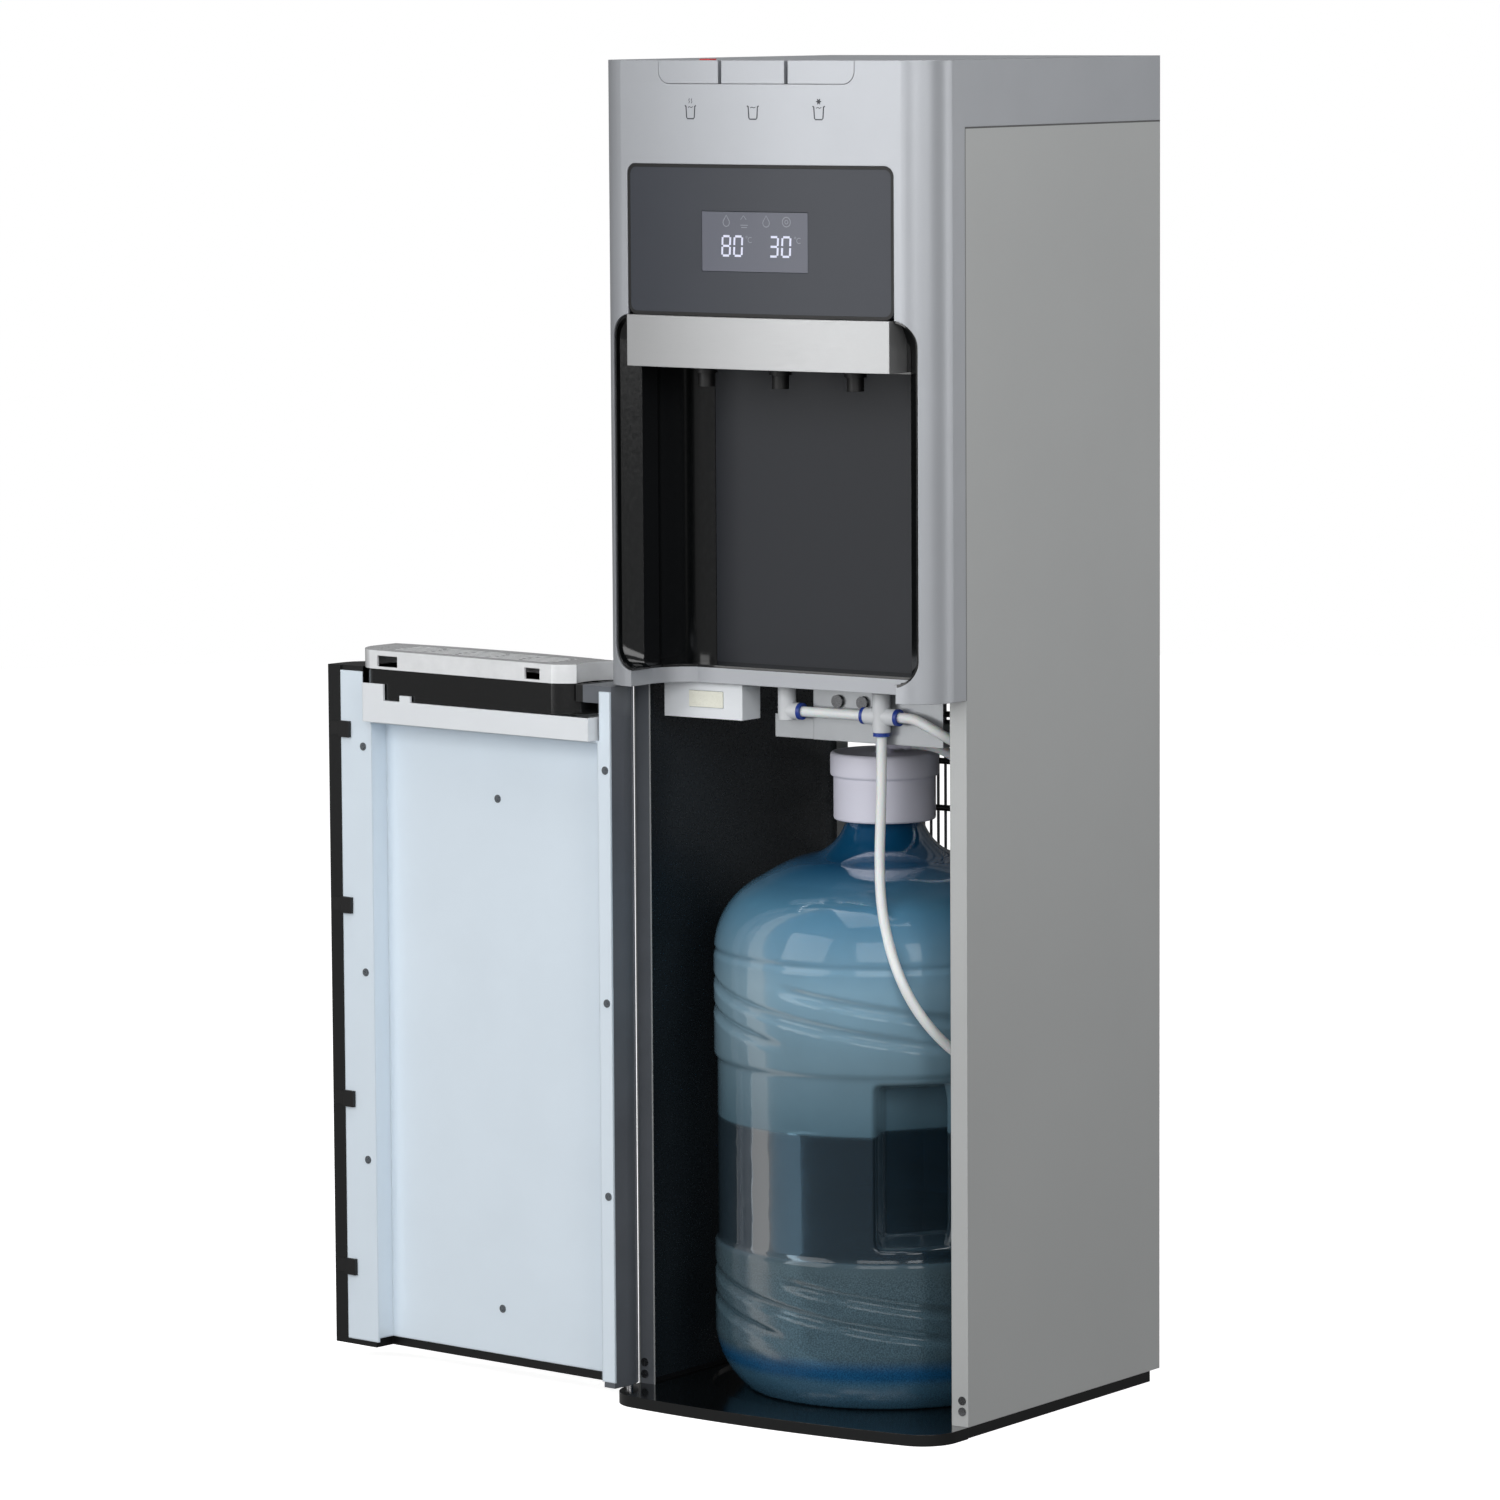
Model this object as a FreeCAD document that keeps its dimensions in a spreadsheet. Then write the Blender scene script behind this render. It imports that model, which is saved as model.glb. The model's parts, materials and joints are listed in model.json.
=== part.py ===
import FreeCAD, Part
import math
import os
import Sketcher

# Bottom load water cooler, millimetres. +X is the right-hand side as seen from the front,
# +Y points to the back and +Z is up. The origin is on the floor, centred between the side
# panels and at half of their depth. The door stands open, swung past half a turn.

doc = FreeCAD.newDocument("water_cooler")
sheet = doc.addObject("Spreadsheet::Sheet", "sizes")
Vector = FreeCAD.Vector
UP = Vector(0, 0, 1)
NODES = {}


class Size:
    """A length that keeps its number together with the expression that ties it to the sheet."""

    def __init__(self, value, text):
        self.value = float(value)
        self.text = text

    def __add__(self, other):
        return combine(self, "+", other, self.value + number(other))

    def __radd__(self, other):
        return combine(other, "+", self, number(other) + self.value)

    def __sub__(self, other):
        return combine(self, "-", other, self.value - number(other))

    def __rsub__(self, other):
        return combine(other, "-", self, number(other) - self.value)

    def __mul__(self, other):
        return combine(self, "*", other, self.value * number(other))

    def __rmul__(self, other):
        return combine(other, "*", self, number(other) * self.value)

    def __truediv__(self, other):
        return combine(self, "/", other, self.value / number(other))

    def __neg__(self):
        return Size(-self.value, f"(0 - {self.text})")


def number(item):
    return item.value if isinstance(item, Size) else float(item)


def text(item):
    return item.text if isinstance(item, Size) else repr(float(item))


def combine(left, sign, right, value):
    return Size(value, f"({text(left)} {sign} {text(right)})")


def size(alias, value):
    """Writes one driving dimension to the sheet and returns it."""
    size.row += 1
    sheet.set(f"A{size.row}", alias)
    sheet.set(f"B{size.row}", str(value))
    sheet.setAlias(f"B{size.row}", alias)
    return Size(value, f"sizes.{alias}")


size.row = 0

# ---- cabinet ----
cabinet_width = size("cabinet_width", 310)
panel_depth = size("panel_depth", 275)
cabinet_height = size("cabinet_height", 1045)
edge_bulge = size("edge_bulge", 43)
bow_rise = size("bow_rise", 12)
corner_radius = size("corner_radius", 30)
base_thickness = size("base_thickness", 9)
base_side_inset = size("base_side_inset", 1.5)
base_back_inset = size("base_back_inset", 12)
bottle_seat_depth = size("bottle_seat_depth", 2)
sheet_gauge = size("sheet_gauge", 1)
flange_width = size("flange_width", 15)
rear_flange_width = size("rear_flange_width", 13)
hem_width = size("hem_width", 12)
hood_height = size("hood_height", 50)
liner_gauge = size("liner_gauge", 1.5)
moulding_wall = size("moulding_wall", 2.5)
fascia_bottom = size("fascia_bottom", 565)
rim_height = size("rim_height", 12)
rim_strip = size("rim_strip", 5)
top_ledge = size("top_ledge", 8)
top_plate_gauge = size("top_plate_gauge", 2)
fit_gap = size("fit_gap", 0.3)

# ---- tray slot under the alcove ----
slot_margin = size("slot_margin", 32.2)
slot_shoulder_back = size("slot_shoulder_back", 20)
slot_rear_margin = size("slot_rear_margin", 55)
slot_rear_past_panel = size("slot_rear_past_panel", 8)
slot_corner_rise = size("slot_corner_rise", 5)

# ---- alcove, display and taps ----
alcove_margin = size("alcove_margin", 14.5)
alcove_corner = size("alcove_corner", 20)
alcove_wall = size("alcove_wall", 2.5)
alcove_floor = size("alcove_floor", 2)
alcove_rear_margin = size("alcove_rear_margin", 52)
alcove_cheek_margin = size("alcove_cheek_margin", 32)
alcove_corner_rise = size("alcove_corner_rise", 7)
alcove_bezel_margin = size("alcove_bezel_margin", 30.5)
alcove_bezel_depth = size("alcove_bezel_depth", 28)
alcove_funnel_depth = size("alcove_funnel_depth", 9)
alcove_depth_past_panel = size("alcove_depth_past_panel", 38)
back_panel_gauge = size("back_panel_gauge", 3)
tap_cover_margin = size("tap_cover_margin", 34)
tap_cover_height = size("tap_cover_height", 39.4)
tap_cover_proud = size("tap_cover_proud", 3.5)
display_height = size("display_height", 114.9)
display_drop = size("display_drop", 28.2)
display_margin = size("display_margin", 32.2)
display_corner = size("display_corner", 8)
display_wall = size("display_wall", 3)
display_inset = size("display_inset", 0.6)
window_half_width = size("window_half_width", 49)
window_rise = size("window_rise", 34.1)
window_height = size("window_height", 45.5)
tap_spacing = size("tap_spacing", 69)
tap_radius = size("tap_radius", 6.5)
tap_drop = size("tap_drop", 16)
tap_front_of_panel = size("tap_front_of_panel", 20)

# ---- buttons ----
button_row_margin = size("button_row_margin", 65)
button_divide = size("button_divide", 30.5)
button_height = size("button_height", 17.5)
button_depth = size("button_depth", 28)
button_gap = size("button_gap", 1.6)
button_travel = size("button_travel", 3)
button_corner = size("button_corner", 10)
lock_length = size("lock_length", 10)
lock_width = size("lock_width", 8)
lock_left = size("lock_left", -57)
lock_travel = size("lock_travel", 6)

# ---- door ----
door_side_gap = size("door_side_gap", 2.5)
door_bottom = size("door_bottom", 12.5)
door_top_gap = size("door_top_gap", 2)
door_gap = size("door_gap", 1)
door_screw_head = size("door_screw_head", 0.6)
clip_length = size("clip_length", 12.5)
clip_height = size("clip_height", 13)
door_skin = size("door_skin", 2.5)
door_side_depth = size("door_side_depth", 29)
door_rim = size("door_rim", 13.5)
door_hinge_rim = size("door_hinge_rim", 10.8)
door_liner_gauge = size("door_liner_gauge", 2)
hinge_inset = size("hinge_inset", 7)
hinge_forward = size("hinge_forward", 22.7)
hinge_pin_radius = size("hinge_pin_radius", 3)
hinge_pin_length = size("hinge_pin_length", 12)
door_open_angle = size("door_open_angle", 186)
recess_hinge_margin = size("recess_hinge_margin", 13.1)
recess_free_margin = size("recess_free_margin", 47.5)
recess_depth = size("recess_depth", 17)
recess_rise = size("recess_rise", 7.5)
bracket_drop = size("bracket_drop", 44.5)
basin_drop = size("basin_drop", 26.5)
basin_wall = size("basin_wall", 2)
basin_inset = size("basin_inset", 1.5)
tray_gap = size("tray_gap", 1.5)
tray_rise = size("tray_rise", 13)
tray_hinge_clearance = size("tray_hinge_clearance", 37.8)
cup_mark_radius = size("cup_mark_radius", 22)


def size_row(alias, values):
    """Several driving dimensions of one kind, numbered from one."""
    return [size(f"{alias}_{i}", value) for i, value in enumerate(values, 1)]


CLIP_DROPS = size_row("clip_drop", (51, 193, 350, 487))
FREE_SCREW_DROPS = size_row("free_screw_drop", (64, 246, 398))
WELL_SCREW_DROPS = size_row("well_screw_drop", (98, 506))

# ---- bottle, cap and water ----
bottle_radius = size("bottle_radius", 134.5)
bottle_behind_panel = size("bottle_behind_panel", 118.5)
bottle_wall = size("bottle_wall", 1.5)
neck_radius = size("neck_radius", 29)
water_level = size("water_level", 224)
cap_grip = size("cap_grip", 37)
cap_skirt_radius = size("cap_skirt_radius", 40)
cap_lid_radius = size("cap_lid_radius", 42.5)
cap_lid_drop = size("cap_lid_drop", 2)
cap_rise = size("cap_rise", 16)
dip_tube_radius = size("dip_tube_radius", 5)
dip_tube_end = size("dip_tube_end", 40)
bottle_top = size("bottle_top", 491)
waist_low = size("waist_low", 108)
waist_high = size("waist_high", 253)
waist_step = size("waist_step", 2)
groove_depth = size("groove_depth", 3.5)
shoulder_low = size("shoulder_low", 333)
shoulder_high = size("shoulder_high", 409)
grip_heading = size("grip_heading", 55)
grip_notch_width = size("grip_notch_width", 104)
grip_notch_depth = size("grip_notch_depth", 42)
grip_notch_low = size("grip_notch_low", 122)
grip_notch_high = size("grip_notch_high", 245)
grip_radius = size("grip_radius", 11)

# ---- water lines ----
tube_radius = size("tube_radius", 4)
line_drop = size("line_drop", 32)
elbow_end = size("elbow_end", 18)
tee_across = size("tee_across", 58)
tee_behind_panel = size("tee_behind_panel", 29)
tee_radius = size("tee_radius", 7)
tee_arm = size("tee_arm", 14)
tee_stem = size("tee_stem", 12)
ring_length = size("ring_length", 3)
ring_radius = size("ring_radius", 6.5)
bracket_left = size("bracket_left", 47)
bracket_right = size("bracket_right", 110)
bracket_below = size("bracket_below", 42)
lamp_left_margin = size("lamp_left_margin", 19.2)
lamp_width = size("lamp_width", 74.2)
lamp_below = size("lamp_below", 28.5)

# ---- machinery ----
shelf_above_rim = size("shelf_above_rim", 6)
compressor_room = size("compressor_room", 187)
shelf_gauge = size("shelf_gauge", 1.5)
shelf_flange = size("shelf_flange", 12)
shelf_front = size("shelf_front", 48)
tank_shelf_front = size("tank_shelf_front", 75)
compressor_radius = size("compressor_radius", 62)
compressor_height = size("compressor_height", 140)
bush_height = size("bush_height", 7.5)
tank_across = size("tank_across", 72)
tank_behind_panel = size("tank_behind_panel", 160)
cold_tank_radius = size("cold_tank_radius", 52)
hot_tank_radius = size("hot_tank_radius", 46)
tank_height = size("tank_height", 130)
tap_line_drop = size("tap_line_drop", 8.9)
tank_wall = size("tank_wall", 1.5)
compressor_wall = size("compressor_wall", 12)
compressor_side = size("compressor_side", 60)
compressor_from_back = size("compressor_from_back", 80)
compressor_foot_half_width = size("compressor_foot_half_width", 72)
compressor_foot_half_depth = size("compressor_foot_half_depth", 45)
terminal_reach = size("terminal_reach", 78)
terminal_half_width = size("terminal_half_width", 20)
terminal_rise = size("terminal_rise", 40)
terminal_height = size("terminal_height", 50)
board_stand_off = size("board_stand_off", 12.4)
pump_from_side = size("pump_from_side", 32)
pump_drop = size("pump_drop", 26)
pump_y = size("pump_y", 20)
pump_inlet = size("pump_inlet", 26)
condenser_tube_radius = size("condenser_tube_radius", 2.5)
condenser_pitch = size("condenser_pitch", 38)
condenser_low = size("condenser_low", 100)
condenser_margin = size("condenser_margin", 47)
condenser_stand_off = size("condenser_stand_off", 7)
condenser_bracket_inset = size("condenser_bracket_inset", 6)
wire_radius = size("wire_radius", 1.2)
wire_pitch = size("wire_pitch", 7)

# ---- rear fittings ----
switch_left = size("switch_left", 50)
switch_below_seam = size("switch_below_seam", 41)
switch_pivot_radius = size("switch_pivot_radius", 1.5)
gland_margin = size("gland_margin", 65)
drain_left = size("drain_left", 60)
drain_rise = size("drain_rise", 17)
doc.recompute()

CONDENSER_RUNS = 22
SWITCH_TILT = 7
LOW_GROOVES = (70, 90)
HIGH_GROOVES = (272, 296)

half_width = cabinet_width / 2
seam_height = cabinet_height - hood_height
panel_front = -panel_depth / 2
panel_back = panel_depth / 2
front_edge = panel_front - edge_bulge
front_middle = front_edge - bow_rise
side_inner = half_width - sheet_gauge
rim_top = fascia_bottom + rim_height
slot_half_width = half_width - slot_margin
slot_rear_half_width = half_width - slot_rear_margin

display_top = seam_height - display_drop
display_bottom = display_top - display_height
display_half_width = half_width - display_margin
window_low = display_bottom + window_rise
window_high = window_low + window_height
tap_cover_bottom = display_bottom - tap_cover_height
tap_cover_half_width = half_width - tap_cover_margin
tap_bottom = tap_cover_bottom - tap_drop
tap_line_height = display_bottom - tap_line_drop
alcove_half_width = half_width - alcove_margin
alcove_rear_half_width = half_width - alcove_rear_margin
alcove_cheek_half_width = half_width - alcove_cheek_margin
alcove_bezel_half_width = half_width - alcove_bezel_margin
button_row_half_width = half_width - button_row_margin
button_bottom = cabinet_height - button_height

door_top = fascia_bottom - door_top_gap
door_inner = panel_front - door_gap
door_half_width = half_width - door_side_gap
clip_left = half_width - flange_width - clip_length
recess_left = door_half_width - recess_hinge_margin
recess_right = door_half_width - recess_free_margin
recess_low = door_bottom + recess_rise
bracket_low = fascia_bottom - bracket_drop
basin_low = fascia_bottom - basin_drop
tray_top = fascia_bottom + tray_rise

cap_low = bottle_top - cap_grip
cap_lid_low = bottle_top - cap_lid_drop
cap_top = bottle_top + cap_rise
line_height = rim_top - line_drop
tee_low = line_height - tee_stem
shelf_height = rim_top + shelf_above_rim
tank_shelf_height = shelf_height + compressor_room
condenser_half_run = half_width - condenser_margin
gland_left = half_width - gland_margin
pump_x = side_inner - pump_from_side
pump_z = shelf_height - pump_drop
switch_low = seam_height - switch_below_seam
bottle_y = panel_front + bottle_behind_panel
hinge_x = hinge_inset - half_width
hinge_y = panel_front - hinge_forward


# ---------------------------------------------------------------- building blocks
def bind(item, path, value):
    if isinstance(value, Size):
        item.setExpression(path, value.text)
    elif "." not in path:
        setattr(item, path, value)


def place(item, x=0, y=0, z=0, turn=None):
    """Sets the origin of a primitive; sized coordinates stay tied to the sheet."""
    turn = turn or FreeCAD.Rotation()
    item.Placement = FreeCAD.Placement(Vector(number(x), number(y), number(z)), turn)
    for axis, value in (("x", x), ("y", y), ("z", z)):
        if isinstance(value, Size):
            item.setExpression(f"Placement.Base.{axis}", value.text)


def block(name, xs, ys, zs):
    item = doc.addObject("Part::Box", name)
    for path, (low, high) in (("Length", xs), ("Width", ys), ("Height", zs)):
        bind(item, path, high - low)
    place(item, xs[0], ys[0], zs[0])
    return item


TURNS = {"z": FreeCAD.Rotation(),
         "x": FreeCAD.Rotation(Vector(0, 1, 0), 90),
         "y": FreeCAD.Rotation(Vector(1, 0, 0), -90)}


def rod(name, radius, length, start, axis="z"):
    """A cylinder that starts at a point and runs along +X, +Y or +Z."""
    item = doc.addObject("Part::Cylinder", name)
    bind(item, "Radius", radius)
    bind(item, "Height", length)
    place(item, *start, turn=TURNS[axis])
    return item


def sleeve(name, outer, inner, length, start, axis="z"):
    body = rod(name + "_outer", outer, length, start, axis)
    bore = rod(name + "_bore", inner, length, start, axis)
    return cut(name, body, bore)


def cut(name, base, *tools):
    item = doc.addObject("Part::Cut", name)
    item.Base = base
    item.Tool = tools[0] if len(tools) == 1 else fuse(name + "_tools", *tools)
    return item


def fuse(name, *pieces):
    item = doc.addObject("Part::MultiFuse", name)
    item.Shapes = list(pieces)
    return item


def common(name, first, second):
    item = doc.addObject("Part::MultiCommon", name)
    item.Shapes = [first, second]
    return item


def group(name, *pieces):
    item = doc.addObject("Part::Compound", name)
    item.Links = list(pieces)
    return item


def plain(name, shape):
    item = doc.addObject("Part::Feature", name)
    item.Shape = shape
    return item


def round_edges(name, base, radius, wanted):
    """Rounds the edges of a finished solid that a test on the edge picks out."""
    doc.recompute()
    picked = [i for i, edge in enumerate(base.Shape.Edges, 1) if wanted(edge)]
    item = doc.addObject("Part::Fillet", name)
    item.Base = base
    item.Edges = [(i, number(radius), number(radius)) for i in picked]
    return item


def node(name, item, placement=None):
    item.Label = name
    if placement is not None:
        item.Placement = placement
    NODES[name] = item
    return item


def middle(edge):
    return edge.valueAt((edge.FirstParameter + edge.LastParameter) / 2)


def upright(edge):
    low, high = edge.BoundBox.ZMin, edge.BoundBox.ZMax
    return high - low > 0.9 * edge.Length


# ---------------------------------------------------------------- sketches and bodies
def origin_plane(body, role):
    return next(item for item in body.Origin.OriginFeatures if item.Role == role)


def sketch_on(body, role, offset, name="Outline"):
    sketch = body.newObject("Sketcher::SketchObject", name)
    sketch.AttachmentSupport = [(origin_plane(body, role), "")]
    sketch.MapMode = "FlatFace"
    shift = Vector(0, 0, number(offset))
    sketch.AttachmentOffset = FreeCAD.Placement(shift, FreeCAD.Rotation())
    if isinstance(offset, Size):
        sketch.setExpression("AttachmentOffset.Base.z", offset.text)
    return sketch


def draw(sketch, points, rises=None):
    """Draws a closed outline. Edge i bulges by rises[i] to the left of its direction."""
    rises = rises or {}
    count = len(points)
    first = sketch.GeometryCount
    flat = [Vector(number(x), number(y), 0) for x, y in points]
    ends = []
    for i in range(count):
        start, stop = flat[i], flat[(i + 1) % count]
        if i in rises:
            along = stop - start
            left = Vector(-along.y, along.x, 0).normalize()
            crown = (start + stop) / 2 + left * number(rises[i])
            ends_in_turn = (start, stop) if number(rises[i]) < 0 else (stop, start)
            arc = Part.Arc(ends_in_turn[0], crown, ends_in_turn[1])
            sketch.addGeometry(arc, False)
        else:
            sketch.addGeometry(Part.LineSegment(start, stop), False)
        edge = sketch.Geometry[first + i]
        forward = (edge.StartPoint - start).Length < 1e-6
        ends.append((1, 2) if forward else (2, 1))
    for i in range(count):
        after = (i + 1) % count
        pair = (first + i, ends[i][1], first + after, ends[after][0])
        sketch.addConstraint(Sketcher.Constraint("Coincident", *pair))
    for i, point in enumerate(points):
        for kind, value in (("DistanceX", point[0]), ("DistanceY", point[1])):
            rule = Sketcher.Constraint(kind, -1, 1, first + i, ends[i][0], number(value))
            index = sketch.addConstraint(rule)
            if isinstance(value, Size):
                sketch.setExpression(f"Constraints[{index}]", value.text)
    for i, rise in rises.items():
        run = points[(i + 1) % count][0] - points[i][0]
        climb = points[(i + 1) % count][1] - points[i][1]
        depth = rise if number(rise) > 0 else 0 - rise
        radius = (run * run + climb * climb) / (8 * depth) + depth / 2
        index = sketch.addConstraint(Sketcher.Constraint("Radius", first + i, number(radius)))
        if isinstance(radius, Size):
            sketch.setExpression(f"Constraints[{index}]", radius.text)


def new_body(name):
    return doc.addObject("PartDesign::Body", name)


def pad(body, points, low, high, rises=None, role="XY_Plane"):
    """Adds an outline drawn on a plane at `low`, grown along the plane's normal."""
    sketch = sketch_on(body, role, low)
    draw(sketch, points, rises)
    feature = body.newObject("PartDesign::Pad", "Pad")
    feature.Profile = sketch
    bind(feature, "Length", high - low)
    return feature


def body_fillet(body, radius, wanted):
    doc.recompute()
    last = body.Tip
    picked = [f"Edge{i}" for i, edge in enumerate(last.Shape.Edges, 1) if wanted(edge)]
    feature = body.newObject("PartDesign::Fillet", "Fillet")
    feature.Base = (last, picked)
    bind(feature, "Radius", radius)
    return feature


def turned(name, profile, rises=None, at=(0, 0, 0)):
    """A body of revolution about its own vertical axis, from (radius, height) points."""
    body = new_body(name)
    sketch = sketch_on(body, "XZ_Plane", 0)
    draw(sketch, profile, rises)
    feature = body.newObject("PartDesign::Revolution", "Revolution")
    feature.Profile = sketch
    feature.ReferenceAxis = (sketch, ["V_Axis"])
    feature.Angle = 360
    place(body, *at)
    return body


ROUND_RISE = 1 - math.sqrt(0.5)


def rounded(left, right, low, high, radius):
    """A rectangle with four quarter-round corners, as points and edge rises."""
    points = [(left + radius, low), (right - radius, low), (right, low + radius),
              (right, high - radius), (right - radius, high), (left + radius, high),
              (left, high - radius), (left, low + radius)]
    rises = {i: 0 - radius * ROUND_RISE for i in (1, 3, 5, 7)}
    return points, rises


def bowed_prism(name, half, back, low, high, inset=0.0):
    """An upright prism with a bowed front and two rounded front corners."""
    body = new_body(name)
    edge_y = front_edge + inset
    side = half - inset
    points = [(-side, back), (-side, edge_y), (side, edge_y), (side, back)]
    pad(body, points, low, high, {1: 0 - bow_rise})
    radius = corner_radius - inset

    def front_corner(edge):
        spot = middle(edge)
        return (upright(edge) and abs(abs(spot.x) - number(side)) < 0.1
                and abs(spot.y - number(edge_y)) < 0.1)

    body_fillet(body, radius, front_corner)
    return body


def slot_outline(inset=0.0, front=None):
    """Plan of the tray slot: straight sides, rounded rear corners and a shallow back."""
    front = front_middle - 10 if front is None else front
    side = slot_half_width - inset
    rear = slot_rear_half_width - inset
    shoulder = panel_front - slot_shoulder_back - inset
    back = panel_front + slot_rear_past_panel - inset
    points = [(-side, front), (side, front), (side, shoulder), (rear, back), (-rear, back),
              (-side, shoulder)]
    return points, {2: 0 - slot_corner_rise, 4: 0 - slot_corner_rise}


def slot_prism(name, low, high, inset=0.0, front=None):
    body = new_body(name)
    points, rises = slot_outline(inset, front)
    pad(body, points, low, high, rises)
    return body


def tube_path(points, label):
    """Straight runs joined by tangent arcs, each as large as its two runs allow."""
    spots = [Vector(*(number(c) for c in point)) for point in points]
    runs = [(b - a).Length for a, b in zip(spots, spots[1:])]
    edges = []
    radii = []
    last = spots[0]
    for i in range(1, len(spots) - 1):
        into = (spots[i] - spots[i - 1]).normalize()
        out = (spots[i + 1] - spots[i]).normalize()
        turn = into.getAngle(out)
        reach = 0.45 * min(runs[i - 1], runs[i])
        radius = reach / math.tan(turn / 2)
        radii.append(radius)
        start = spots[i] - into * reach
        stop = spots[i] + out * reach
        inward = (out - into).normalize()
        crown = spots[i] + inward * (radius / math.cos(turn / 2) - radius)
        edges.append(Part.LineSegment(last, start).toShape())
        edges.append(Part.Arc(start, crown, stop).toShape())
        last = stop
    edges.append(Part.LineSegment(last, spots[-1]).toShape())
    wire = Part.Wire(edges)
    print(label, "length", round(wire.Length, 1), "radii", [round(r, 1) for r in radii])
    return wire


def tube(name, points, radius):
    wire = tube_path(points, name)
    start = Vector(*(number(c) for c in points[0]))
    away = Vector(*(number(c) for c in points[1])) - start
    profile = Part.Wire([Part.makeCircle(number(radius), start, away)])
    shape = wire.makePipeShell([profile], True, False)
    wanted = math.pi * number(radius) ** 2 * wire.Length
    print(name, "volume over section times length", round(shape.Volume / wanted, 4))
    return plain(name, shape)


# ---------------------------------------------------------------- base and side panels
def build_base():
    body = new_body("base_tray_body")
    rear_side = half_width - base_side_inset
    rear = panel_back - base_back_inset
    points = [(-rear_side, rear), (-rear_side, panel_front), (-half_width, panel_front),
              (-half_width, front_edge), (half_width, front_edge), (half_width, panel_front),
              (rear_side, panel_front), (rear_side, rear)]
    pad(body, points, 0, base_thickness, {3: 0 - bow_rise})
    body_fillet(body, corner_radius, lambda edge: upright(edge)
                and abs(middle(edge).y - number(front_edge)) < 0.1)
    seat = rod("bottle_seat", bottle_radius + 3, bottle_seat_depth,
               (0, bottle_y, base_thickness - bottle_seat_depth))
    node("base_tray", cut("base_tray", body, seat))


def build_side(name, side):
    body = new_body(name)
    outer = half_width * side
    inner = side_inner * side
    front_lip = (half_width - flange_width) * side
    rear_lip = (half_width - rear_flange_width) * side
    points = [(outer, panel_front), (outer, panel_back), (rear_lip, panel_back),
              (rear_lip, panel_back - sheet_gauge), (inner, panel_back - sheet_gauge),
              (inner, panel_front + sheet_gauge), (front_lip, panel_front + sheet_gauge),
              (front_lip, panel_front)]
    pad(body, points, base_thickness, seam_height)
    hem = (half_width - hem_width) * side
    points = [(inner, panel_front + sheet_gauge), (hem, panel_front + sheet_gauge),
              (hem, panel_back - base_back_inset), (inner, panel_back - base_back_inset)]
    pad(body, points, base_thickness, base_thickness + sheet_gauge)
    node(name, body)


def build_liner(name, side):
    low, high = sorted((side_inner * side, (side_inner - liner_gauge) * side), key=number)
    item = block(name, (low, high), (panel_front + sheet_gauge, panel_back - sheet_gauge),
                 (base_thickness + sheet_gauge, shelf_height))
    node(name, item)


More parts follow.
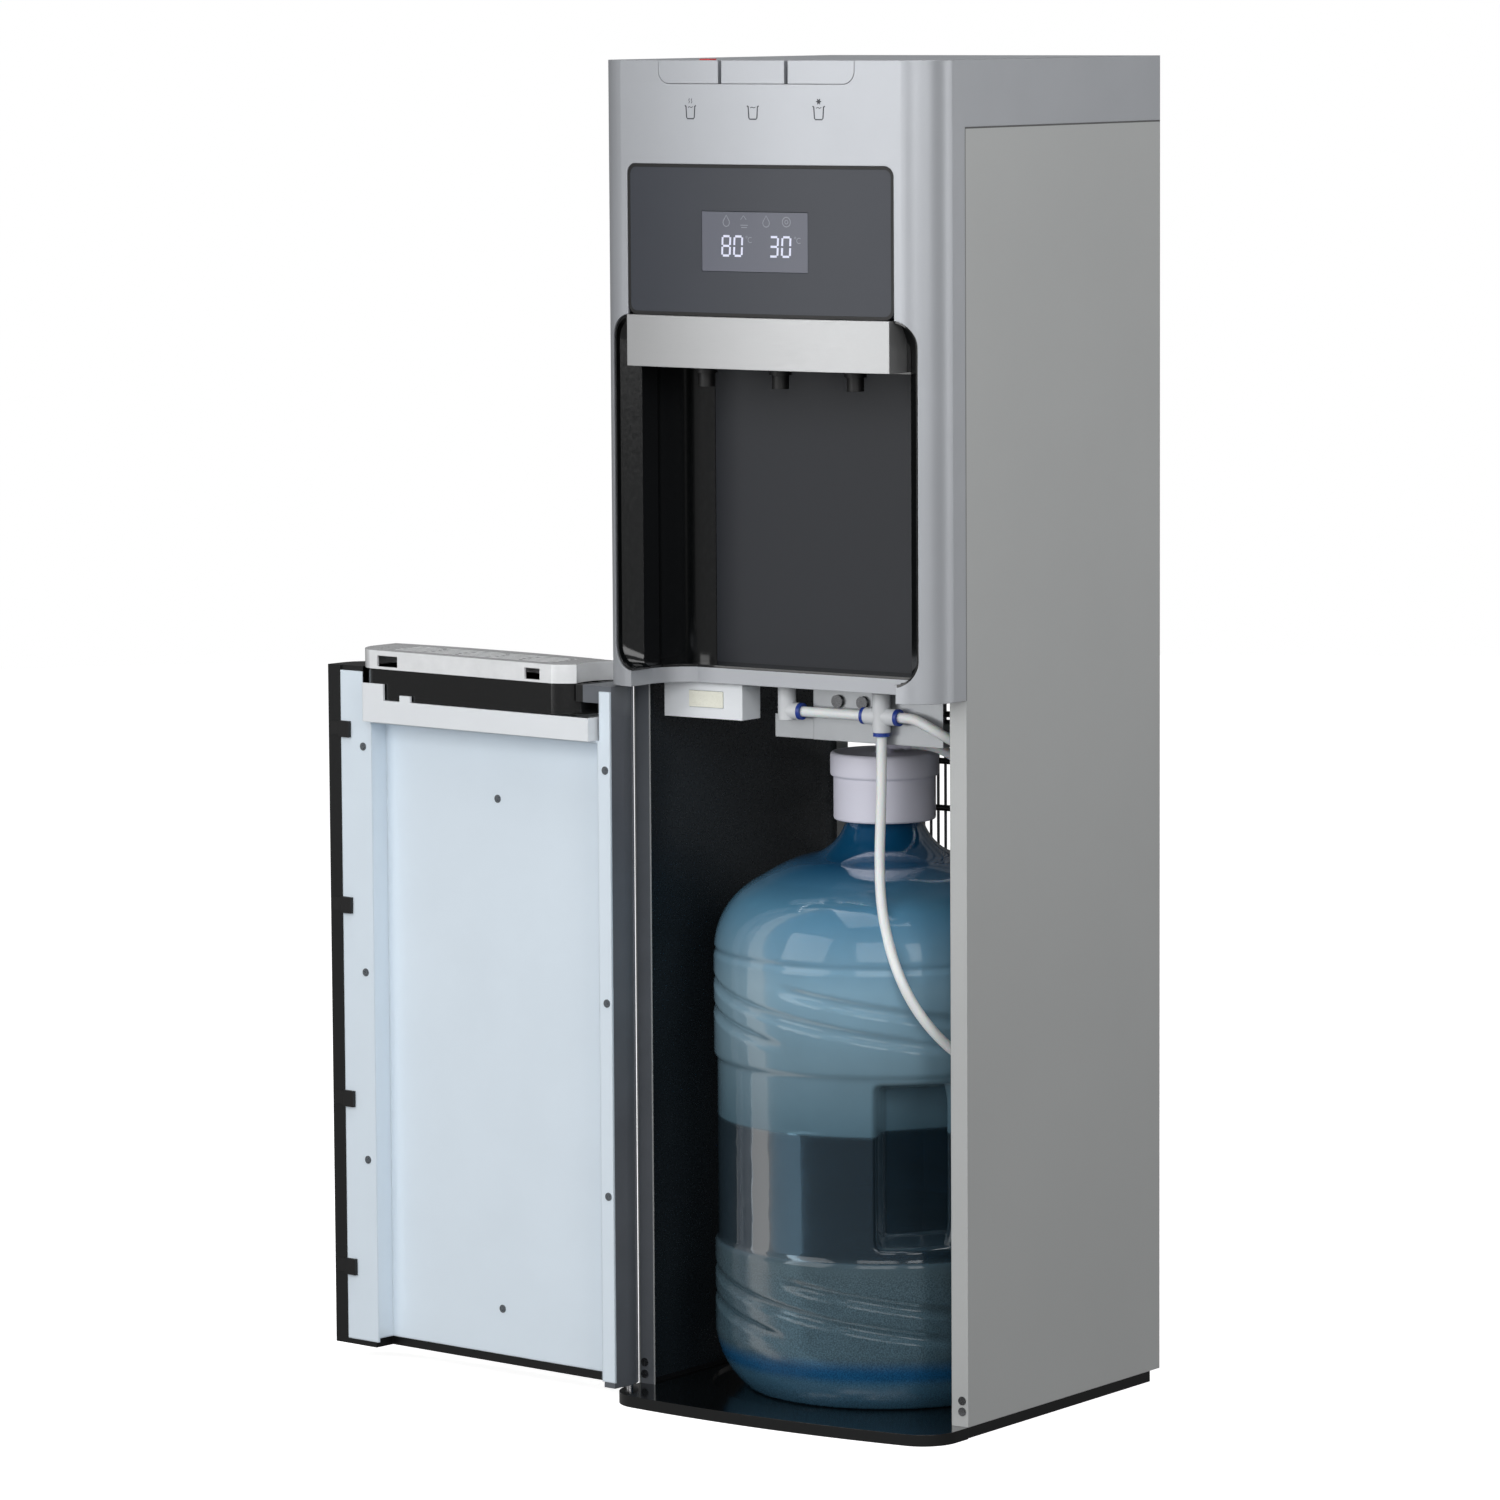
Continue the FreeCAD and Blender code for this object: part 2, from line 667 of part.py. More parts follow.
# ---------------------------------------------------------------- fascia and top
def build_fascia():
    lower = bowed_prism("fascia_lower", half_width, panel_front, fascia_bottom, seam_height)
    hood = bowed_prism("fascia_hood", half_width, panel_back, seam_height, cabinet_height)
    rim_half = slot_half_width + 8
    rim_points = [(-rim_half, panel_front), (-slot_rear_half_width, panel_front
                  + slot_rear_past_panel + rim_strip), (slot_rear_half_width, panel_front
                  + slot_rear_past_panel + rim_strip), (rim_half, panel_front)]
    rim = new_body("fascia_rim")
    pad(rim, rim_points, fascia_bottom, rim_top, {0: slot_corner_rise, 2: slot_corner_rise})
    outer = fuse("fascia_outer", lower, hood, rim)

    shell_low = bowed_prism("fascia_inside", half_width, panel_front + 1, rim_top,
                            seam_height + 1, moulding_wall)
    ledge_low = cabinet_height - 2 * top_plate_gauge
    shell_high = bowed_prism("hood_inside", half_width, panel_back - moulding_wall,
                             seam_height, ledge_low, moulding_wall)
    slot = slot_prism("fascia_slot", fascia_bottom, tray_top + fit_gap)

    display = new_body("display_opening")
    points, rises = rounded(-display_half_width, display_half_width, display_bottom - 12,
                            display_top, display_corner)
    pad(display, points, -panel_front + 2, -front_middle + 5, rises, "XZ_Plane")
    alcove = new_body("alcove_opening")
    points, rises = rounded(-alcove_half_width, alcove_half_width, rim_top, display_bottom,
                            alcove_corner)
    pad(alcove, points, -panel_front + 2, -front_middle + 5, rises, "XZ_Plane")

    roof_half = half_width - top_ledge
    roof_front = front_middle + button_depth + button_travel + 10
    roof_hole = block("roof_hole", (-roof_half + 5, roof_half - 5),
                      (roof_front + 5, panel_back - top_ledge - 5),
                      (ledge_low, cabinet_height))
    roof_seat = block("roof_seat", (-roof_half, roof_half),
                      (roof_front, panel_back - top_ledge),
                      (cabinet_height - top_plate_gauge, cabinet_height))
    shell = cut("fascia_shell", outer, shell_low, shell_high, slot, display, alcove,
                roof_hole, roof_seat)

    bay_back = front_middle + button_depth + button_travel + 2 * fit_gap
    row = button_row_half_width + fit_gap
    bay_block = block("button_bay_block", (-row - 2, row + 2), (front_middle, bay_back + 2),
                      (button_bottom - 3, ledge_low))
    bay_solid = common("button_bay_solid", bay_block, bowed_prism(
        "button_bay_envelope", half_width, panel_back, seam_height, cabinet_height))
    bay_room = new_body("button_bay_room")
    low = button_bottom - fit_gap
    corner = button_corner
    above = cabinet_height + 5
    points = [(-row, above), (-row, low + corner), (-row + corner, low),
              (row - corner, low), (row, low + corner), (row, above)]
    pad(bay_room, points, -bay_back, -front_middle + 5,
        {1: 0 - corner * ROUND_RISE, 3: 0 - corner * ROUND_RISE}, "XZ_Plane")
    fascia = cut("front_fascia", fuse("fascia_with_bay", shell, bay_solid), bay_room)
    node("front_fascia", fascia)

    top_cover = block("top_cover", (-roof_half + fit_gap, roof_half - fit_gap),
                      (roof_front + fit_gap, panel_back - top_ledge - fit_gap),
                      (cabinet_height - top_plate_gauge, cabinet_height))
    node("top_cover", top_cover)


def build_buttons():
    parting = button_gap
    spans = {"hot_button": (-button_row_half_width, -button_divide - parting),
             "room_button": (-button_divide + parting, button_divide - parting),
             "cold_button": (button_divide + parting, button_row_half_width)}
    back = front_middle + button_depth
    for name, (left, right) in spans.items():
        envelope = bowed_prism(name + "_envelope", half_width, panel_back, seam_height,
                               cabinet_height)
        solid = block(name + "_block", (left, right), (front_middle - 1, back),
                      (button_bottom, cabinet_height))
        cap = common(name + "_cap", solid, envelope)
        hollow = block(name + "_hollow", (left + 4, right - 4), (front_middle + 12, back),
                       (button_bottom + 6, cabinet_height - 3))
        pieces = [hollow]
        if name == "hot_button":
            track_back = back - 8
            track_floor = cabinet_height - 1.5
            pieces.append(block("lock_track",
                                (lock_left - fit_gap, lock_left + lock_length + lock_travel
                                 + fit_gap),
                                (track_back - lock_width - 2 * fit_gap, track_back),
                                (track_floor, cabinet_height)))
            node("child_lock", block("child_lock", (lock_left, lock_left + lock_length),
                                     (track_back - lock_width - fit_gap, track_back - fit_gap),
                                     (track_floor + fit_gap, cabinet_height + 1)))
        shell = cut(name + "_shell", cap, *pieces)
        outer_x = {"hot_button": number(left), "cold_button": number(right)}.get(name)
        if outer_x is None:
            node(name, shell)
            continue

        def low_outer(edge, outer_x=outer_x):
            spot = middle(edge)
            return (abs(spot.x - outer_x) < 0.1 and abs(spot.z - number(button_bottom)) < 0.1
                    and edge.BoundBox.YLength > 5)

        node(name, round_edges(name, shell, button_corner, low_outer))


# ---------------------------------------------------------------- display and alcove
def build_display():
    body = new_body("display_plate")
    gap = fit_gap
    points, rises = rounded(-display_half_width + gap, display_half_width - gap,
                            display_bottom + gap, display_top - gap, display_corner - gap)
    pad(body, points, -panel_front + 30, -front_middle, rises, "XZ_Plane")
    outer = common("display_outer", body, bowed_prism(
        "display_face", half_width, panel_back, fascia_bottom, seam_height, display_inset))
    inner = bowed_prism("display_inside", half_width, panel_back, fascia_bottom, seam_height,
                        display_inset + display_wall)
    opening = block("window_opening", (-window_half_width, window_half_width),
                    (front_middle, panel_front), (window_low, window_high))
    shell = cut("display_shell", outer, inner, opening)
    board_front = front_middle + 14
    posts = []
    for x in (-window_half_width - 6, window_half_width + 6):
        for z in (window_low - 8, window_high + 8):
            posts.append(rod("display_post", 3, board_front - front_middle - 3,
                             (x, front_middle + 3, z), "y"))
    node("display_panel", fuse("display_panel", shell, *posts))

    pane = block("window_block", (-window_half_width + gap, window_half_width - gap),
                 (front_middle, front_middle + 20), (window_low + gap, window_high - gap))
    face = common("window_face", pane, bowed_prism(
        "window_front", half_width, panel_back, fascia_bottom, seam_height,
        display_inset + 0.2))
    node("display_window", cut("display_window", face, bowed_prism(
        "window_inside", half_width, panel_back, fascia_bottom, seam_height,
        display_inset + display_wall)))
    board = block("display_board", (-window_half_width - 12, window_half_width + 12),
                  (board_front, board_front + 1.6), (window_low - 14, window_high + 14))
    node("display_board", board)


def build_tap_cover():
    side = tap_cover_half_width
    top = display_bottom - fit_gap
    back = panel_front - alcove_bezel_depth
    outer = common("cover_outer", block("cover_block", (-side, side), (front_middle - 10, back),
                                        (tap_cover_bottom, top)),
                   bowed_prism("cover_face", half_width, panel_back, fascia_bottom,
                               seam_height, 0 - tap_cover_proud))
    inner = common("cover_inner", block("cover_room", (-side + 2, side - 2),
                                        (front_middle - 10, back),
                                        (tap_cover_bottom + 2, top - 2)),
                   bowed_prism("cover_back", half_width, panel_back, fascia_bottom,
                               seam_height, moulding_wall - tap_cover_proud))
    node("tap_cover", cut("tap_cover", outer, inner))


def alcove_plan(front, grow):
    """Half-round plan of the alcove: bezel, tapered cheeks and rounded rear corners."""
    bezel = alcove_bezel_half_width + grow
    cheek = alcove_cheek_half_width + grow
    rear = alcove_rear_half_width + grow
    back = panel_front + alcove_depth_past_panel + grow
    cheek_y = panel_front - slot_shoulder_back / 2
    points = [(-bezel, front), (bezel, front), (cheek, cheek_y), (rear, back),
              (-rear, back), (-cheek, cheek_y)]
    return points, {2: 0 - alcove_corner_rise, 4: 0 - alcove_corner_rise}


def build_alcove():
    gap = fit_gap
    ceiling = tap_cover_bottom - 1.5
    bezel_y = panel_front - alcove_bezel_depth
    plate = new_body("alcove_front_block")
    points, rises = rounded(-alcove_half_width + gap, alcove_half_width - gap, rim_top,
                            display_bottom - gap, alcove_corner - gap)
    pad(plate, points, -bezel_y, -front_middle, rises, "XZ_Plane")
    front = common("alcove_front", plate, bowed_prism(
        "alcove_face", half_width, panel_back, fascia_bottom, seam_height, 1.5))
    back = new_body("alcove_back_block")
    points, rises = alcove_plan(bezel_y, alcove_wall)
    pad(back, points, rim_top, display_bottom - gap, rises)
    outer = fuse("alcove_outer", front, back)

    bezel = new_body("alcove_bezel")
    mouth_y = bezel_y - alcove_funnel_depth
    points, rises = rounded(-alcove_half_width + 2, alcove_half_width - 2,
                            rim_top + alcove_floor, display_bottom - 2, alcove_corner - 2)
    pad(bezel, points, -mouth_y, -front_middle + 1, rises, "XZ_Plane")
    wide = sketch_on(bezel, "XZ_Plane", -mouth_y)
    draw(wide, points, rises)
    narrow = sketch_on(bezel, "XZ_Plane", -bezel_y)
    points, rises = rounded(-alcove_bezel_half_width, alcove_bezel_half_width,
                            rim_top + alcove_floor, display_bottom - 14, alcove_corner / 2)
    draw(narrow, points, rises)
    loft = bezel.newObject("PartDesign::AdditiveLoft", "BezelLoft")
    loft.Profile = wide
    loft.Sections = [narrow]

    room = new_body("alcove_room")
    points, rises = alcove_plan(bezel_y - 1, 0)
    pad(room, points, rim_top + alcove_floor, ceiling, rises)
    cover_room = block("alcove_cover_room", (-tap_cover_half_width - gap,
                       tap_cover_half_width + gap), (front_middle - 5, bezel_y),
                       (tap_cover_bottom - 1.5, display_bottom))
    slot = slot_prism("alcove_slot", rim_top, rim_top + alcove_floor)
    service = block("alcove_service_room", (-alcove_rear_half_width, alcove_rear_half_width),
                    (bezel_y + 3, panel_front + alcove_depth_past_panel + alcove_wall),
                    (ceiling + alcove_wall, display_bottom))
    node("dispenser_alcove", cut("dispenser_alcove", outer, bezel, room, cover_room, slot,
                                 service))

    wall_y = panel_front + alcove_depth_past_panel
    inner = alcove_rear_half_width - 3
    panel = block("alcove_back_panel", (-inner, inner), (wall_y - back_panel_gauge, wall_y),
                  (rim_top + alcove_floor, ceiling))
    node("alcove_back_panel", panel)

    tap_y = panel_front - tap_front_of_panel
    taps = []
    for place_x in (-tap_spacing, 0, tap_spacing):
        spout = rod("tap_spout", tap_radius, ceiling - tap_bottom, (place_x, tap_y, tap_bottom))
        collar = rod("tap_collar", tap_radius + 2, 4, (place_x, tap_y, ceiling - 4))
        bore = rod("tap_bore", tap_radius - 3, ceiling - tap_bottom, (place_x, tap_y, tap_bottom))
        taps.append(cut("tap", fuse("tap_outer", spout, collar), bore))
    node("tap_nozzles", group("tap_nozzles", *taps))


# ---------------------------------------------------------------- shelves and machinery
def build_shelf(name, height, front):
    plate = block(name + "_plate", (-side_inner, side_inner),
                  (panel_front + front, panel_back - 2 * sheet_gauge),
                  (height, height + shelf_gauge))
    flanges = []
    for low, high in ((-side_inner, shelf_gauge - side_inner),
                      (side_inner - shelf_gauge, side_inner)):
        flanges.append(block(name + "_flange", (low, high),
                             (panel_front + front, panel_back - 2 * sheet_gauge),
                             (height, height + shelf_flange)))
    node(name, fuse(name, plate, *flanges))


def build_rear_panel():
    low = shelf_height
    through = (panel_back - 3 * sheet_gauge, panel_back)
    plate = block("rear_plate", (-side_inner, side_inner),
                  (panel_back - 2 * sheet_gauge, panel_back - sheet_gauge),
                  (low, seam_height))
    slots = []
    for row in range(8):
        for x in (-80, 20):
            z = low + 40 + 16 * row
            slots.append(block("vent_slot", (x, x + 60), through, (z, z + 5)))
    switch_hole = block("switch_hole", (switch_left, switch_left + 60), through,
                        (switch_low, switch_low + 26))
    gland_hole = rod("gland_hole", 6 + fit_gap, 3 * sheet_gauge,
                     (-gland_left, panel_back - 3 * sheet_gauge, switch_low + 13), "y")
    drain_hole = rod("drain_hole", 6 + fit_gap, 3 * sheet_gauge,
                     (-drain_left, panel_back - 3 * sheet_gauge, low + drain_rise), "y")
    brackets = []
    for row in (1, CONDENSER_RUNS // 3, 2 * CONDENSER_RUNS // 3, CONDENSER_RUNS - 2):
        z = condenser_low + condenser_pitch * row
        for side in (-1, 1):
            low_x, high_x = sorted((side * (condenser_half_run - 6),
                                    side * (side_inner - condenser_bracket_inset)),
                                   key=number)
            brackets.append(block("condenser_bracket", (low_x, high_x),
                                  (panel_back, panel_back + condenser_stand_off),
                                  (z - 7, z + 7)))
    node("rear_panel", cut("rear_panel", plate, *slots, switch_hole, gland_hole, drain_hole))
    node("condenser_brackets", group("condenser_brackets", *brackets))


def build_rear_fittings():
    outside = panel_back - sheet_gauge
    bezel = block("switch_bezel_plate", (switch_left - 4, switch_left + 64),
                  (outside, outside + 2), (switch_low - 4, switch_low + 30))
    housing = block("switch_housing", (switch_left + fit_gap, switch_left + 60 - fit_gap),
                    (outside - 22, outside), (switch_low + fit_gap, switch_low + 26 - fit_gap))
    middle_z = switch_low + 13
    pivot_y = outside - 3
    rooms = []
    for i, name in enumerate(("heating_switch", "cooling_switch")):
        left = switch_left + 5 + 28 * i
        rooms.append(block(name + "_room", (left, left + 22), (outside - 14, outside + 2),
                           (switch_low + 3, switch_low + 23)))
        rooms.append(rod(name + "_pivot_room", switch_pivot_radius + fit_gap, 25,
                         (left - 1.5, pivot_y, middle_z), "x"))
        key = new_body(name + "_key")
        outline = [(-4, -8.2), (6.2, -8.2), (4.6, 0), (6.2, 8.2), (-4, 8.2)]
        pad(key, outline, -10.6, 10.6, None, "YZ_Plane")
        pivot = rod(name + "_pivot", switch_pivot_radius, 24, (-12, 0, 0), "x")
        centre = Vector(number(left) + 11, number(pivot_y), number(middle_z))
        tilt = FreeCAD.Rotation(Vector(1, 0, 0), SWITCH_TILT)
        node(name, fuse(name, key, pivot), FreeCAD.Placement(centre, tilt))
    node("switch_bezel", cut("switch_bezel", fuse("switch_frame", bezel, housing), *rooms))

    collar = sleeve("gland_collar", 9, 3.5, 6, (-gland_left, outside, middle_z), "y")
    barrel = sleeve("gland_barrel", 6, 3.5, 12, (-gland_left, outside - 12, middle_z), "y")
    node("cord_gland", fuse("cord_gland", collar, barrel))
    stem_z = shelf_height + drain_rise
    stem = rod("drain_stem", 6, 14, (-drain_left, outside - 12, stem_z), "y")
    head = rod("drain_head", 9, 5, (-drain_left, outside, stem_z), "y")
    node("drain_plug", fuse("drain_plug", stem, head))


def build_condenser():
    y = panel_back + condenser_stand_off + condenser_tube_radius
    edges = []
    y_value = number(y)
    reach = number(condenser_half_run)
    bend = number(condenser_pitch) / 2
    side = 1
    for run in range(CONDENSER_RUNS):
        z = number(condenser_low) + number(condenser_pitch) * run
        start = Vector(-reach * side, y_value, z)
        stop = Vector(reach * side, y_value, z)
        edges.append(Part.LineSegment(start, stop).toShape())
        if run < CONDENSER_RUNS - 1:
            crown = Vector((reach + bend) * side, y_value, z + bend)
            above = Vector(reach * side, y_value, z + 2 * bend)
            edges.append(Part.Arc(stop, crown, above).toShape())
        side = -side
    wire = Part.Wire(edges)
    profile = Part.Wire([Part.makeCircle(number(condenser_tube_radius),
                                         Vector(-reach, y_value, number(condenser_low)),
                                         Vector(1, 0, 0))])
    node("condenser_tube", plain("condenser_tube", wire.makePipeShell([profile], True, False)))

    low = condenser_low - 12
    tall = condenser_pitch * (CONDENSER_RUNS - 1) + 24
    wire_y = y + condenser_tube_radius + wire_radius
    count = int(2 * number(condenser_half_run) // number(wire_pitch))
    wires = []
    for i in range(count + 1):
        x = wire_pitch * (i - count / 2)
        wires.append(rod("condenser_wire", wire_radius, tall, (x, wire_y, low)))
    node("condenser_wires", group("condenser_wires", *wires))


def build_machinery():
    floor = shelf_height + shelf_gauge
    x, y = -compressor_side, panel_back - compressor_from_back
    can = rod("compressor_can", compressor_radius, compressor_height,
              (x, y, floor + bush_height + 3))
    can = round_edges("compressor_dome", can, compressor_radius * 0.35,
                      lambda edge: edge.BoundBox.ZLength < 0.1
                      and middle(edge).z > number(floor) + 60)
    foot_half, foot_deep = compressor_foot_half_width, compressor_foot_half_depth
    foot = block("compressor_foot", (x - foot_half, x + foot_half),
                 (y - foot_deep, y + foot_deep),
                 (floor + bush_height, floor + bush_height + 3))
    stub = rod("compressor_stub", 4, 25, (x + 30, y, floor + bush_height + 3
               + compressor_height - 1))
    box = block("compressor_terminals", (x + compressor_radius - 12, x + terminal_reach),
                (y - terminal_half_width, y + terminal_half_width),
                (floor + terminal_rise, floor + terminal_rise + terminal_height))
    hollow = rod("compressor_hollow", compressor_radius - compressor_wall,
                 compressor_height - 2 * compressor_wall,
                 (x, y, floor + bush_height + 3 + compressor_wall))
    node("compressor", cut("compressor", fuse("compressor_outer", can, foot, stub, box),
                           hollow))
    bushes = [rod("bush", 8, bush_height, (x + (foot_half - 12) * dx,
                                           y + (foot_deep - 12) * dy, floor))
              for dx in (-1, 1) for dy in (-1, 1)]
    node("compressor_bushes", group("compressor_bushes", *bushes))

    tank_floor = tank_shelf_height + shelf_gauge
    tank_y = panel_front + tank_behind_panel
    for name, side, radius in (("cold_tank", 1, cold_tank_radius),
                               ("hot_tank", -1, hot_tank_radius)):
        can = rod(name + "_can", radius, tank_height, (tank_across * side, tank_y, tank_floor))
        can = round_edges(name + "_dome", can, 12, lambda edge: edge.BoundBox.ZLength < 0.1
                          and middle(edge).z > number(tank_floor) + 60)
        hollow = rod(name + "_hollow", radius - 8, tank_height - 2 * tank_wall,
                     (tank_across * side, tank_y, tank_floor + tank_wall))
        node(name, cut(name, can, hollow))
    node("evaporator_coil", sleeve("evaporator_coil", cold_tank_radius + 6, cold_tank_radius,
                                   50, (tank_across, tank_y, tank_floor + 8)))
    node("heater_band", sleeve("heater_band", hot_tank_radius + 4, hot_tank_radius, 35,
                               (-tank_across, tank_y, tank_floor + 12)))

    tap_y = panel_front - tap_front_of_panel
    ceiling = tap_cover_bottom - 1.5 + alcove_wall
    lines = []
    starts = {-1: tank_y - hot_tank_radius, 1: tank_y - cold_tank_radius}
    outlet = tank_shelf_height + 73
    for side in (-1, 1):
        x = tank_across * side
        tap_x = tap_spacing * side
        lines.append(tube("tap_line", [(x, starts[side], outlet),
                                       (x, panel_front + 40, outlet),
                                       (tap_x, panel_front + 10, tap_line_height),
                                       (tap_x, tap_y, tap_line_height),
                                       (tap_x, tap_y, ceiling)], tube_radius))
    lines.append(tube("room_line", [(0, panel_front + 60, floor),
                                    (0, panel_front + 60, tap_line_height),
                                    (0, tap_y, tap_line_height), (0, tap_y, ceiling)],
                      tube_radius))
    node("tap_lines", group("tap_lines", *lines))

    board_x = side_inner - board_stand_off - 1.6
    low, high = shelf_height + 37, shelf_height + 157
    board = block("control_plate", (board_x, board_x + 1.6), (-40, 80), (low, high))
    posts = []
    for dy in (-34, 74):
        for z in (low + 6, high - 6):
            posts.append(rod("control_post", 3, board_stand_off, (board_x + 1.6, dy, z), "x"))
    parts = [block("control_relay", (board_x - 16, board_x), (-30, -8), (low + 20, low + 42)),
             block("control_transformer", (board_x - 28, board_x), (15, 60),
                   (low + 20, low + 60)),
             rod("control_capacitor", 8, 22, (board_x - 22, 0, high - 30), "x")]
    node("control_board", fuse("control_board", board, *posts, *parts))

    motor = rod("pump_motor", 20, 62, (pump_x, pump_y, pump_z), "y")
    head = rod("pump_head", 22, 18, (pump_x, pump_y - 18, pump_z), "y")
    inlet = rod("pump_inlet", tube_radius + 1.5, 8, (pump_x, pump_y - pump_inlet, pump_z), "y")
    saddle = block("pump_saddle", (pump_x - 15, pump_x + 15), (pump_y + 5, pump_y + 50),
                   (pump_z, shelf_height))
    node("water_pump", fuse("water_pump", motor, head, inlet, saddle))


# ---------------------------------------------------------------- water fittings
def build_fittings():
    plate_front = panel_front + tee_behind_panel + tee_radius
    left, right = -bracket_left, bracket_right
    low = fascia_bottom - bracket_below
    gauge = 1.5
    plate = block("bracket_plate", (-10, right), (plate_front, plate_front + gauge),
                  (low, rim_top))
    channel = block("bracket_channel", (left, right), (plate_front + gauge, plate_front + 34),
                    (low, tee_low + 8))
    trough = block("bracket_trough", (left + gauge, right - gauge),
                   (plate_front + 2 * gauge, plate_front + 34 - gauge),
                   (low + gauge, tee_low + 8))
    node("tube_bracket", cut("tube_bracket", fuse("bracket_outer", plate, channel), trough))

    tee_x, tee_y = tee_across, panel_front + tee_behind_panel
    barrel = rod("tee_barrel", tee_radius, 30, (tee_x, tee_y, tee_low))
    arms = rod("tee_arms", tee_radius - 0.5, 2 * tee_arm, (tee_x - tee_arm, tee_y, line_height),
               "x")
    tee = fuse("tee", barrel, arms)

    elbow_x = -elbow_end - 12
    stem = rod("elbow_stem", tee_radius, rim_top - line_height + tee_radius,
               (elbow_x, tee_y, line_height - tee_radius))
    arm = rod("elbow_arm", tee_radius - 0.5, -elbow_end - elbow_x,
              (elbow_x, tee_y, line_height), "x")
    node("tube_fittings", group("tube_fittings", tee, fuse("elbow", stem, arm)))

    bore = tube_radius + fit_gap
    rings = [sleeve("ring_elbow", ring_radius, bore, ring_length,
                    (-elbow_end, tee_y, line_height), "x"),
             sleeve("ring_left", ring_radius, bore, ring_length,
                    (tee_x - tee_arm - ring_length, tee_y, line_height), "x"),
             sleeve("ring_right", ring_radius, bore, ring_length,
                    (tee_x + tee_arm, tee_y, line_height), "x"),
             sleeve("ring_low", ring_radius, bore, ring_length,
                    (tee_x, tee_y, tee_low - ring_length))]
    node("fitting_rings", group("fitting_rings", *rings))
    node("cross_tube", rod("cross_tube", tube_radius, tee_x - tee_arm + elbow_end,
                           (-elbow_end, tee_y, line_height), "x"))
    inlet_y = pump_y - pump_inlet
    arm_x = tee_x + tee_arm
    past = bracket_right - arm_x
    low_run = line_height - 19
    node("pump_tube", tube("pump_tube", [
        (arm_x, tee_y, line_height), (arm_x + 16, tee_y, line_height),
        (arm_x + past - 1, tee_y - 2, line_height - 8),
        (arm_x + past + 13, tee_y + 10, low_run), (arm_x + past + 16, tee_y + 34, low_run),
        (pump_x + 2, tee_y + 66, pump_z - 16),
        (pump_x, inlet_y - 22, pump_z), (pump_x, inlet_y, pump_z)], tube_radius))

    lamp_front = panel_front + slot_rear_past_panel + rim_strip + 1
    left = lamp_left_margin - half_width
    housing = block("lamp_body", (left, left + lamp_width), (lamp_front, lamp_front + 24),
                    (fascia_bottom - lamp_below, rim_top))
    lens_x = (left + 23.8, left + 56.3)
    lens_z = (fascia_bottom - 20, fascia_bottom - 7)
    lens_seat = block("lens_seat", lens_x, (lamp_front, lamp_front + 1.2), lens_z)
    node("lamp_housing", cut("lamp_housing", housing, lens_seat))
    node("lamp_lens", block("lamp_lens", (lens_x[0] + fit_gap, lens_x[1] - fit_gap),
                            (lamp_front - 0.8, lamp_front + 1.2),
                            (lens_z[0] + fit_gap, lens_z[1] - fit_gap)))


HOSE_ROUTE = ((58, -108.5, 533), (58, -108.5, 500), (56.5, -108, 465), (56.5, -110, 432),
              (62, -116, 400), (76, -126, 371), (89, -129.5, 346), (100, -124, 323),
              (111.5, -112, 302), (123.5, -95, 284), (134, -72, 270), (142.5, -44, 262),
              (146, -14, 264), (144, 16, 278), (135, 44, 302), (120, 64, 334),
              (102, 70, 370), (86, 62, 405), (75, 44, 438), (74, 18, 471), (73, 2.5, 489),
              (65.5, -8.5, 501.5), (54, -15.5, 510), (41, -19, 514), (27, -19, 514))


HOSE_BOTTLE_Y = -19


def build_hose():
    """The route is drawn for a bottle axis at HOSE_BOTTLE_Y and moves with the bottle."""
    shift = number(bottle_y) - HOSE_BOTTLE_Y
    route = [(x, y + shift, z) for x, y, z in HOSE_ROUTE]
    node("supply_hose", tube("supply_hose", route, tube_radius))


# ---------------------------------------------------------------- bottle and cap
bottle_low = base_thickness - bottle_seat_depth


def bottle_profile(inset):
    """Half profile from the axis at the bottom to the neck, as (radius, height) points."""
    low = bottle_low + inset
    wide = bottle_radius - inset
    waist = wide - waist_step
    groove = wide - groove_depth
    neck = neck_radius - inset
    top = bottle_top - inset
    points = [(0, low), (wide - 24.5, low), (wide, low + 46)]
    for height in (LOW_GROOVES):
        points += [(wide, height - 5), (groove, height), (wide, height + 5)]
    points += [(wide, waist_low), (waist, waist_low + 6), (waist, waist_high - 6),
               (wide, waist_high)]
    for height in (HIGH_GROOVES):
        points += [(wide, height - 5), (groove, height), (wide, height + 5)]
    shoulder = len(points)
    points += [(wide, shoulder_low), (neck + 51, shoulder_high), (neck + 25, shoulder_high + 16),
               (neck, shoulder_high + 36), (neck, top), (0, top)]
    rises = {1: -5, shoulder: -14, shoulder + 2: 3}
    return points, rises


def bottle_solid(name, inset):
    points, rises = bottle_profile(inset)
    round_body = turned(name, points, rises, (0, bottle_y, 0))
    notch = new_body(name + "_notch")
    half = grip_notch_width / 2 + inset
    outline, corners = rounded(-half, half, grip_notch_low - inset, grip_notch_high + inset, 16)
    deep = bottle_radius - grip_notch_depth - inset
    pad(notch, outline, deep, bottle_radius + 20, corners, "XZ_Plane")
    notch.Placement = FreeCAD.Placement(Vector(0, number(bottle_y), 0),
                                        FreeCAD.Rotation(UP, number(grip_heading)))
    return cut(name + "_notched", round_body, notch)


